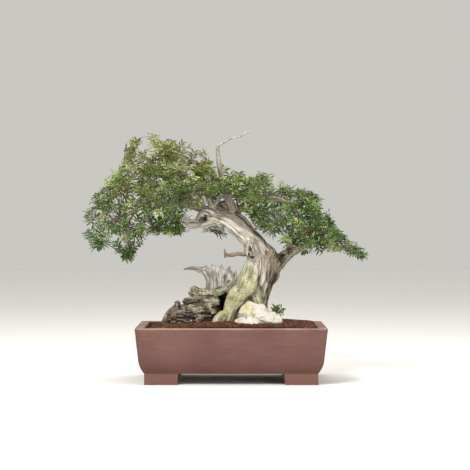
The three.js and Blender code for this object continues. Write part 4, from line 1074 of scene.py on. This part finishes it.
bare_foot = Limb(BOUGHS["low"][:4], "bough")
bare_middles = np.vstack([limb.middle for limb in (*trunk_limbs, bare_foot)])
bare_radii = np.concatenate([limb.radius for limb in (*trunk_limbs, bare_foot)])
shaded = (bare_middles[:, 2] > BARE_TOP) & (bare_middles[:, 2] < BARE_TIP)
bare_reach = np.where(shaded, 0, bare_radii + BARE_MARGIN)
wood_middles = np.vstack([bare_middles, *[limb.middle for limb in bough_limbs.values()]])
wood_radii = np.concatenate([bare_radii, *[limb.radius for limb in bough_limbs.values()]])
box_low, box_high = (millimetres(corner) for corner in cad_box)


def has_room(points):
    """Whether points keep inside the crown and off the wood, and leave the bare wood's front in sight."""
    if (points < box_low + 0.2).any() or (points > box_high - 0.2).any():
        return False
    ragged = CROWN_RAGGED * smooth_noise(points / 9, 50)
    low, high = (np.interp(points[:, 0], CROWN[:, 0], CROWN[:, side]) for side in (1, 2))
    above = points[:, 2] > high + ragged
    below = (points[:, 2] > CROWN_FLOOR) & (points[:, 2] < low - ragged)
    if (above | below).any():
        return False
    off = points[:, None] - wood_middles[None]
    if (np.linalg.norm(off, axis=2) < wood_radii + 1).any():
        return False
    off = off[:, :len(bare_middles)]
    over = (np.hypot(off[..., 0], off[..., 2]) < bare_reach) & (off[..., 1] < 0)
    return not over.any()


def trimmed(start, way, length):
    """How long a shoot may grow before its tip leaves the crown."""
    while length > SHOOT_SHORTEST and not has_room((start + way * (length + SHOOT_SPARE))[None]):
        length *= 0.85
    return length


def thin_tube(middle, radii, sides=3):
    """A closed tube of few sides along a short line of points."""
    along = unit(np.gradient(middle, axis=0))
    side = unit(np.cross(along, ASKEW))
    other = np.cross(along, side)
    return round_rings(middle, side, other, radii[:, None], sides)


def compound_leaf(at, along, up, size, pairs, chance):
    """The rachis of a leaf, and the base, the three directions and the length of each of its leaflets."""
    along = unit(along)
    across = unit(np.cross(up, along))
    face = np.cross(along, across)
    places = size * (LEAF_STALK + LEAF_PAIR_GAP * np.arange(pairs))
    rachis = np.append(0, places)[:, None]
    rachis = at + along * rachis - face * rachis**2 / (2 * LEAF_ARCH)
    bases = np.repeat(rachis[1:], 2, 0)
    side = np.tile([1.0, -1.0], pairs)
    angle = LEAFLET_ANGLE - LEAFLET_CLOSING * np.repeat(np.arange(pairs), 2)
    angle = np.radians(angle + chance.uniform(-LEAFLET_STRAY, LEAFLET_STRAY, 2 * pairs))
    bent = unit(along - face * places[-1] / LEAF_ARCH * 0.7)
    ways = np.cos(angle)[:, None] * bent + (side * np.sin(angle))[:, None] * across
    ways = unit(ways + face * chance.uniform(-0.1, 0.35, (2 * pairs, 1)))
    ups = face - side[:, None] * across * chance.uniform(0.0, 0.5, (2 * pairs, 1))
    lefts = unit(np.cross(ups, ways))
    tops = np.cross(ways, lefts)
    lengths = size * LEAFLET_LENGTH * (0.86 + 0.16 * np.repeat(np.arange(pairs) > 0, 2))
    lengths = lengths * chance.uniform(*LEAFLET_SIZES, 2 * pairs)
    return rachis, bases, ways, lefts, tops, lengths


def blades(bases, ways, lefts, tops, lengths):
    """The points of many leaflets, one block for each."""
    x, y, z = (BLADE_POINTS[:, axis] for axis in range(3))
    width = LEAFLET_HALF_WIDTH * (lengths / LEAFLET_LENGTH)
    droop = -LEAFLET_DROOP * x**2
    points = bases[:, None] + (lengths[:, None] * x)[..., None] * ways[:, None]
    points = points + (width[:, None] * y)[..., None] * lefts[:, None]
    return points + (width[:, None] * z + lengths[:, None] * droop)[..., None] * tops[:, None]


def node_tips(name, start, outward):
    """The tips of the big leaves of a packed spray: the points farthest out, well apart round its stem."""
    corners = np.empty(len(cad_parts[name].data.vertices) * 3)
    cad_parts[name].data.vertices.foreach_get("co", corners)
    corners = millimetres(corners.reshape(-1, 3))
    side = unit(np.cross(outward, (0, 0, 1)))
    up = np.cross(side, outward)
    off = corners - start - outward * 0.7 * SPRAY_STEM
    turn = np.arctan2(off @ up, off @ side)
    tips = []
    for index in np.argsort(-np.linalg.norm(off, axis=1)):
        apart = [abs((turn[index] - turn[other] + math.pi) % (2 * math.pi) - math.pi) for other in tips]
        if all(angle > TIPS_APART for angle in apart) and len(tips) < TUFT_TIPS:
            tips.append(index)
    return corners[tips], turn[tips], side, up


class Tuft:
    """The leaves, stalks and shoots of one spray, gathered into one mesh."""

    def __init__(self):
        self.parts, self.marks = [], {"midrib": [], "under": [], "tone": [], "youth": [], "stalk": []}
        self.outline = []

    def add(self, points, faces, outline, **marks):
        self.parts.append((points, faces))
        self.outline.append(np.broadcast_to(outline, len(points)))
        for name, values in self.marks.items():
            values.append(np.broadcast_to(marks.get(name, 0.0), len(points)))

    def add_leaf(self, at, along, up, size, pairs, youth, chance):
        for _ in range(LEAF_TRIES):
            rachis, *leaflets = compound_leaf(at, along, up, size, pairs, chance)
            points = blades(*leaflets)
            if has_room(points[:, BLADE_TIP]) and has_room(points[:, BLADE_EDGE]):
                break
            along = unit(along + chance.normal(0, 0.6, 3))
        else:
            return
        count = len(points)
        faces = (BLADE_FACES[None] + len(BLADE_POINTS) * np.arange(count)[:, None, None]).reshape(-1, 3)
        # Painted light and shade: leaves high in the crown get a lighter tone and low ones a darker one.
        light = chance.uniform(*LEAF_LIGHT) + np.clip((at[2] - PAINTED_LIGHT_FROM) / PAINTED_LIGHT_OVER, -0.08, 0.12)
        tones = np.repeat(light + chance.uniform(*LEAFLET_LIGHT, count), len(BLADE_POINTS))
        self.add(points.reshape(-1, 3), faces, np.tile(BLADE_OUTLINE, count), tone=tones, youth=youth,
                 midrib=np.tile(BLADE_MIDRIB, count), under=np.tile(BLADE_UNDER, count))
        stalk = thin_tube(rachis, np.linspace(0.45, 0.28, len(rachis)) * size)
        self.add(*stalk, False, stalk=0.7, youth=youth)

    def piece(self, name, material):
        points, faces = joined(self.parts)
        marks = {name: np.concatenate(values) for name, values in self.marks.items()}
        piece = make_piece(name, points, faces, material, marks=marks)
        edges = np.empty(2 * len(piece.data.edges), np.int32)
        piece.data.edges.foreach_get("vertices", edges)
        crisp = np.concatenate(self.outline)[edges.reshape(-1, 2)].all(1)
        piece.data.attributes.new("sharp_edge", "BOOLEAN", "EDGE").data.foreach_set("value", crisp)
        return piece


def leafy_shoot(tuft, start, way, length, youth, leaves, chance, radius=0.9, size=1.0):
    """A thin shoot with leaves set spirally round it, lying closer to it and younger towards its end."""
    way = unit(way)
    length = trimmed(start, way, length)
    bow = unit(np.cross(way, chance.normal(size=3))) * chance.uniform(-0.12, 0.12) * length
    shares = np.linspace(0, 1, 4)[:, None]
    rise = np.array((0, 0, SHOOT_RISE * length))
    middle = start + way * length * shares + bow * np.sin(shares * math.pi) + rise * shares**2
    tuft.add(*thin_tube(middle, np.linspace(radius, 0.45, 4), 5), False, stalk=1.0, youth=youth)
    turn = chance.uniform(0, 2 * math.pi)
    side = unit(np.cross(way, (0.2, 0.1, 1)))
    other = np.cross(way, side)
    for leaf in range(leaves):
        share = FIRST_LEAF + (1 - FIRST_LEAF) * (leaf + 0.6) / leaves
        at = start + way * length * share + bow * math.sin(share * math.pi) + rise * share**2
        turn += SPIRAL_TURN + chance.uniform(-0.3, 0.3)
        round_about = side * math.cos(turn) + other * math.sin(turn)
        opening = math.radians(chance.uniform(*LEAF_OPENING) * (1 - 0.45 * share**3))
        along = way * math.cos(opening) + round_about * math.sin(opening) + (0, 0, 0.22)
        up = np.array((0, -0.25, 1.0)) + 0.5 * way + chance.normal(0, 0.3, 3)
        pairs = chance.choice(LEAF_PAIRS)
        fresh = np.clip(youth * chance.uniform(0.4, 1.3) + 0.25 * share**4, 0, 1)
        tuft.add_leaf(at, along, up, size * chance.uniform(*LEAF_SIZES), pairs, fresh, chance)


leaf = Finish("mastic_leaf", IOR=1.4)
tone, youth, place = leaf.mark("tone"), leaf.mark("youth"), leaf.place()
mottle = leaf.noise(place, 320, 2)
sunned = (leaf.height(place) + leaf.noise(place, 24, 3) * 0.4).rise(0.6, 0.78)
deep_green = leaf.mix(sunned, (9, 34, 12), (20, 32, 7))
full_green = leaf.mix(sunned, (48, 102, 43), (84, 105, 40))
leaf_colour = leaf.coats(
    # The tone is random per leaflet, with painted light on high leaves and painted shade on low ones.
    leaf.mix(tone.rise(0.1, 0.5), deep_green, full_green),
    (tone.rise(0.58, 1.02), (162, 175, 106)),
    (youth * 0.55, (146, 132, 54)),
    (mottle.rise(0.45, 0.75) * 0.3, (34, 46, 14)),
    (leaf.mark("under") * 0.55, (122, 134, 86)),
    (leaf.mark("midrib").rise(0.86, 1.0) * 0.5, (160, 164, 92)),
    (leaf.mark("stalk"), leaf.mix(youth, (112, 66, 50), (150, 104, 62))),
)
leaf.apply(leaf_colour, 0.22 + mottle * 0.14, leaf.relief(mottle, 0.0003, 0.35))

for number, ((bough, share, centre), (stations, outward)) in enumerate(zip(SPRAYS, branches), 1):
    chance = np.random.default_rng(SPRAY_SEED + number)
    name = f"spray_{number:02d}"
    start = np.array(stations[-1][:3]) + outward * STEM_CLEAR
    tip = start + outward * SPRAY_STEM
    tips, turns, side, up = node_tips(name, start, outward)
    fresh = YOUTH_LEAST + YOUTH_MOST * np.clip((centre[2] - YOUTH_FROM) / YOUTH_OVER, 0, 1)
    tuft = Tuft()
    stem = np.linspace(start, tip, 4)
    tuft.add(*thin_tube(stem, np.linspace(0.62 * STEM_RADIUS, 1.0, 4), 6), False, stalk=1.0)
    for order, big_tip in enumerate(tips):
        root = start + outward * SPRAY_STEM * (0.9 - 0.25 * order)
        reach = np.linalg.norm(big_tip - root)
        leafy_shoot(tuft, root, big_tip - root, SHOOT_SHARE * reach, fresh, 7, chance)
        turned = turns[order] + chance.uniform(0.8, 1.3)
        between = outward * chance.uniform(0.5, 0.95) + side * math.cos(turned) + up * math.sin(turned)
        foot = start + outward * SPRAY_STEM * chance.uniform(0.2, 0.8)
        leafy_shoot(tuft, foot, between, chance.uniform(*INNER_SHOOT), fresh, 6, chance)
    leafy_shoot(tuft, tip, outward, END_SHOOT, fresh + 0.15, 6, chance, 0.8)
    spray = tuft.piece("leafy_" + name, leaf.material)
    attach(spray, "root")
    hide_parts(name)

# Rock: one craggy piece of white limestone with cream stains, set into the soil in front of the roots. It
# was picked for its worn holes and sharp edges, and it keeps the roots and the mound in place.
ROCK_VOXEL, ROCK_SPARE, ROCK_ROUGH, ROCK_CHIPS, ROCK_SEED = 1.1, 1.3, 0.2, 24, 40
ROCK_BLOCKS = [
    ((40, -76, 160), (24, 22, 34), 0.4, 2, (-0.55, -0.45, 0.7)),
    ((68, -80, 160), (24, 24, 23), 0.5, 5, (0.2, -0.6, 0.75)),
    ((90, -84, 146), (37, 26, 20), 0.6, 8, (0.35, -0.5, 0.8)),
    ((42, -88, 140), (42, 20, 17), 0.5, 4, (-0.6, -0.5, 0.6)),
]
PIT_FROM, PIT_DEPTH, CRACK_WIDTH, CRACK_DEPTH, ROCK_TRIM = 0.35, 4, 0.1, 2.8, 0.6


def chipped(block, chance, broad):
    """The skin of a block that has had flat faces struck off it on all sides, a broad one first."""
    points, faces = block.skin()
    points = block.centre + ROCK_SPARE * (points - block.centre)
    for order, way in enumerate(unit(np.vstack([broad, chance.normal(size=(ROCK_CHIPS, 3))]))):
        reach = np.linalg.norm(block.halves * way) * (chance.uniform(0.8, 1.02) if order else 0.7)
        points = points - np.maximum(0, (points - block.centre) @ way - reach)[:, None] * way
    return points, faces


rock_skins = []
for number, (centre, halves, squareness, seed, broad) in enumerate(ROCK_BLOCKS):
    block = Lump(centre, halves, "stone", squareness, ROCK_ROUGH, seed)
    rock_skins.append(chipped(block, np.random.default_rng(ROCK_SEED + number), broad))
rock_points, rock_faces = grown_together(rock_skins, ROCK_VOXEL)
rock_normals = outwards_of(rock_points, rock_faces)
tilted = rock_points @ (0.35, 0.2, 0.92)
ledges = 1 - 2 * np.abs((tilted / 13 + 0.5 * smooth_noise(rock_points / 19, 20)) % 1 - 0.5) * 2
crags, chips = ridges(rock_points / 17, 21), ridges(rock_points / 7, 22)
worn = smooth_noise(rock_points / 3.4, 23)
pits = np.maximum(0, smooth_noise(rock_points / 8.5, 24) - PIT_FROM)
cracks = narrow_cracks(rock_points / (22, 22, 13), 25, CRACK_WIDTH)
rock_rise = 0.5 * crags + 0.6 * chips + 0.4 * worn + 0.4 * ledges - PIT_DEPTH * pits - CRACK_DEPTH * cracks
rock_points = rock_points + rock_normals * (rock_rise - ROCK_TRIM)[:, None]

limestone = Finish("craggy_limestone", IOR=1.45)
place = limestone.place()
stains, powder = limestone.noise(place, 70, 3), limestone.noise(place, 380, 3, 0.6)
stone_colour = limestone.coats(
    limestone.mix(limestone.mark("weathered") * 0.9, (196, 191, 179), (196, 182, 146)),
    (stains.rise(0.55, 0.66) * 0.6, (160, 148, 104)),
    (limestone.mark("hollow").rise(0.3, 1.2) * 0.7, (156, 138, 100)),
    (powder.rise(0.6, 0.75) * 0.3, (200, 190, 168)),
)
limestone.apply(stone_colour, 0.85, limestone.relief(powder, 0.0007, 0.6))
cream = np.clip((54 - rock_points[:, 0]) / 8, 0, 1) * np.clip((rock_points[:, 2] - 160) / 8, 0, 1)
rock_marks = {"hollow": np.clip(-rock_rise / 3, 0, 1), "weathered": cream}
rock = make_piece("limestone_rock", rock_points, rock_faces.tolist(), limestone.material, marks=rock_marks)
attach(rock, "root")
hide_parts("rock")

# Root shoot: a young shoot that has come up from a root at the right of the trunk, with a thin green stem
# and a few dark leaves.
ROOT_SHOOT = [(116, -18, 112, 1.6), (114, -19, 142, 1.5), (108, -21, 160, 1.2)]
SIDE_SHOOTS = [((-0.9, -0.4, 0.4), 18), ((0.8, 0.1, 0.7), 8), ((-0.2, -0.3, 1), 10), ((-0.5, -0.5, -0.2), 14)]
ROOT_SHOOT_SEED = 77

chance = np.random.default_rng(ROOT_SHOOT_SEED)
tuft = Tuft()
shoot_middle, shoot_radii = limb_line(ROOT_SHOOT, np.linspace(0, 1, 8))
tuft.add(*thin_tube(shoot_middle, 0.8 * shoot_radii, 6), False, stalk=0.6, youth=0.6)
shoot_end = shoot_middle[-1]
for way, length in SIDE_SHOOTS:
    leafy_shoot(tuft, shoot_end - (0, 0, 4), np.array(way), length, 0.3, 4, chance, 0.6, 0.9)
root_shoot = tuft.piece("leafy_root_shoot", leaf.material)
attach(root_shoot, "root")
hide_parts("root_shoot")

# Studio: a plain pale floor, a pale even surround, and three large soft lights. They stand in front, to the
# left and above, so that the shadows stay faint.
FLOOR_REACH, FLOOR_DROP, LIGHTS_FACE = 9000.0, 0.5, (0, 0, 300)

ground = Finish("pale_floor", IOR=1.4)
ground_grain = ground.noise(ground.place(), 40, 2)
ground_colour = ground.mix(ground_grain, (236, 234, 230), (239, 237, 233))
ground.apply(ground_colour, 0.9, ground.relief(ground_grain, 0.0001, 0.1))
corners = [(-1, -1), (1, -1), (1, 1), (-1, 1)]
floor_points = [(FLOOR_REACH * x, FLOOR_REACH * y, -FLOOR_DROP) for x, y in corners]
floor = make_piece("floor", floor_points, [(0, 1, 2, 3)], ground.material, smooth=False)


def soft_light(name, place, size, watts):
    """A square soft light that faces the middle of the tree."""
    lamp = bpy.data.lights.new(name, "AREA")
    lamp.size = size
    lamp.energy = watts
    light = bpy.data.objects.new(name, lamp)
    light.location = metres(place)
    target = Vector(metres(LIGHTS_FACE))
    light.rotation_euler = (target - light.location).to_track_quat("-Z", "Y").to_euler()
    bpy.context.scene.collection.objects.link(light)


soft_light("key_light", (-1300, -2300, 2300), 1.1, 95)
soft_light("fill_light", (1700, -2500, 800), 1.6, 42)
soft_light("top_light", (200, 300, 2900), 1.6, 36)
sky = bpy.data.lights.new("even_light", "SUN")
sky.energy, sky.angle = 0.33, 1.6
bpy.context.scene.collection.objects.link(bpy.data.objects.new("even_light", sky))
surround = bpy.data.worlds.new("pale_surround")
surround.use_nodes = True
background = surround.node_tree.nodes["Background"]
background.inputs["Color"].default_value = paint(236, 234, 228)
background.inputs["Strength"].default_value = 0.7
bpy.context.scene.world = surround
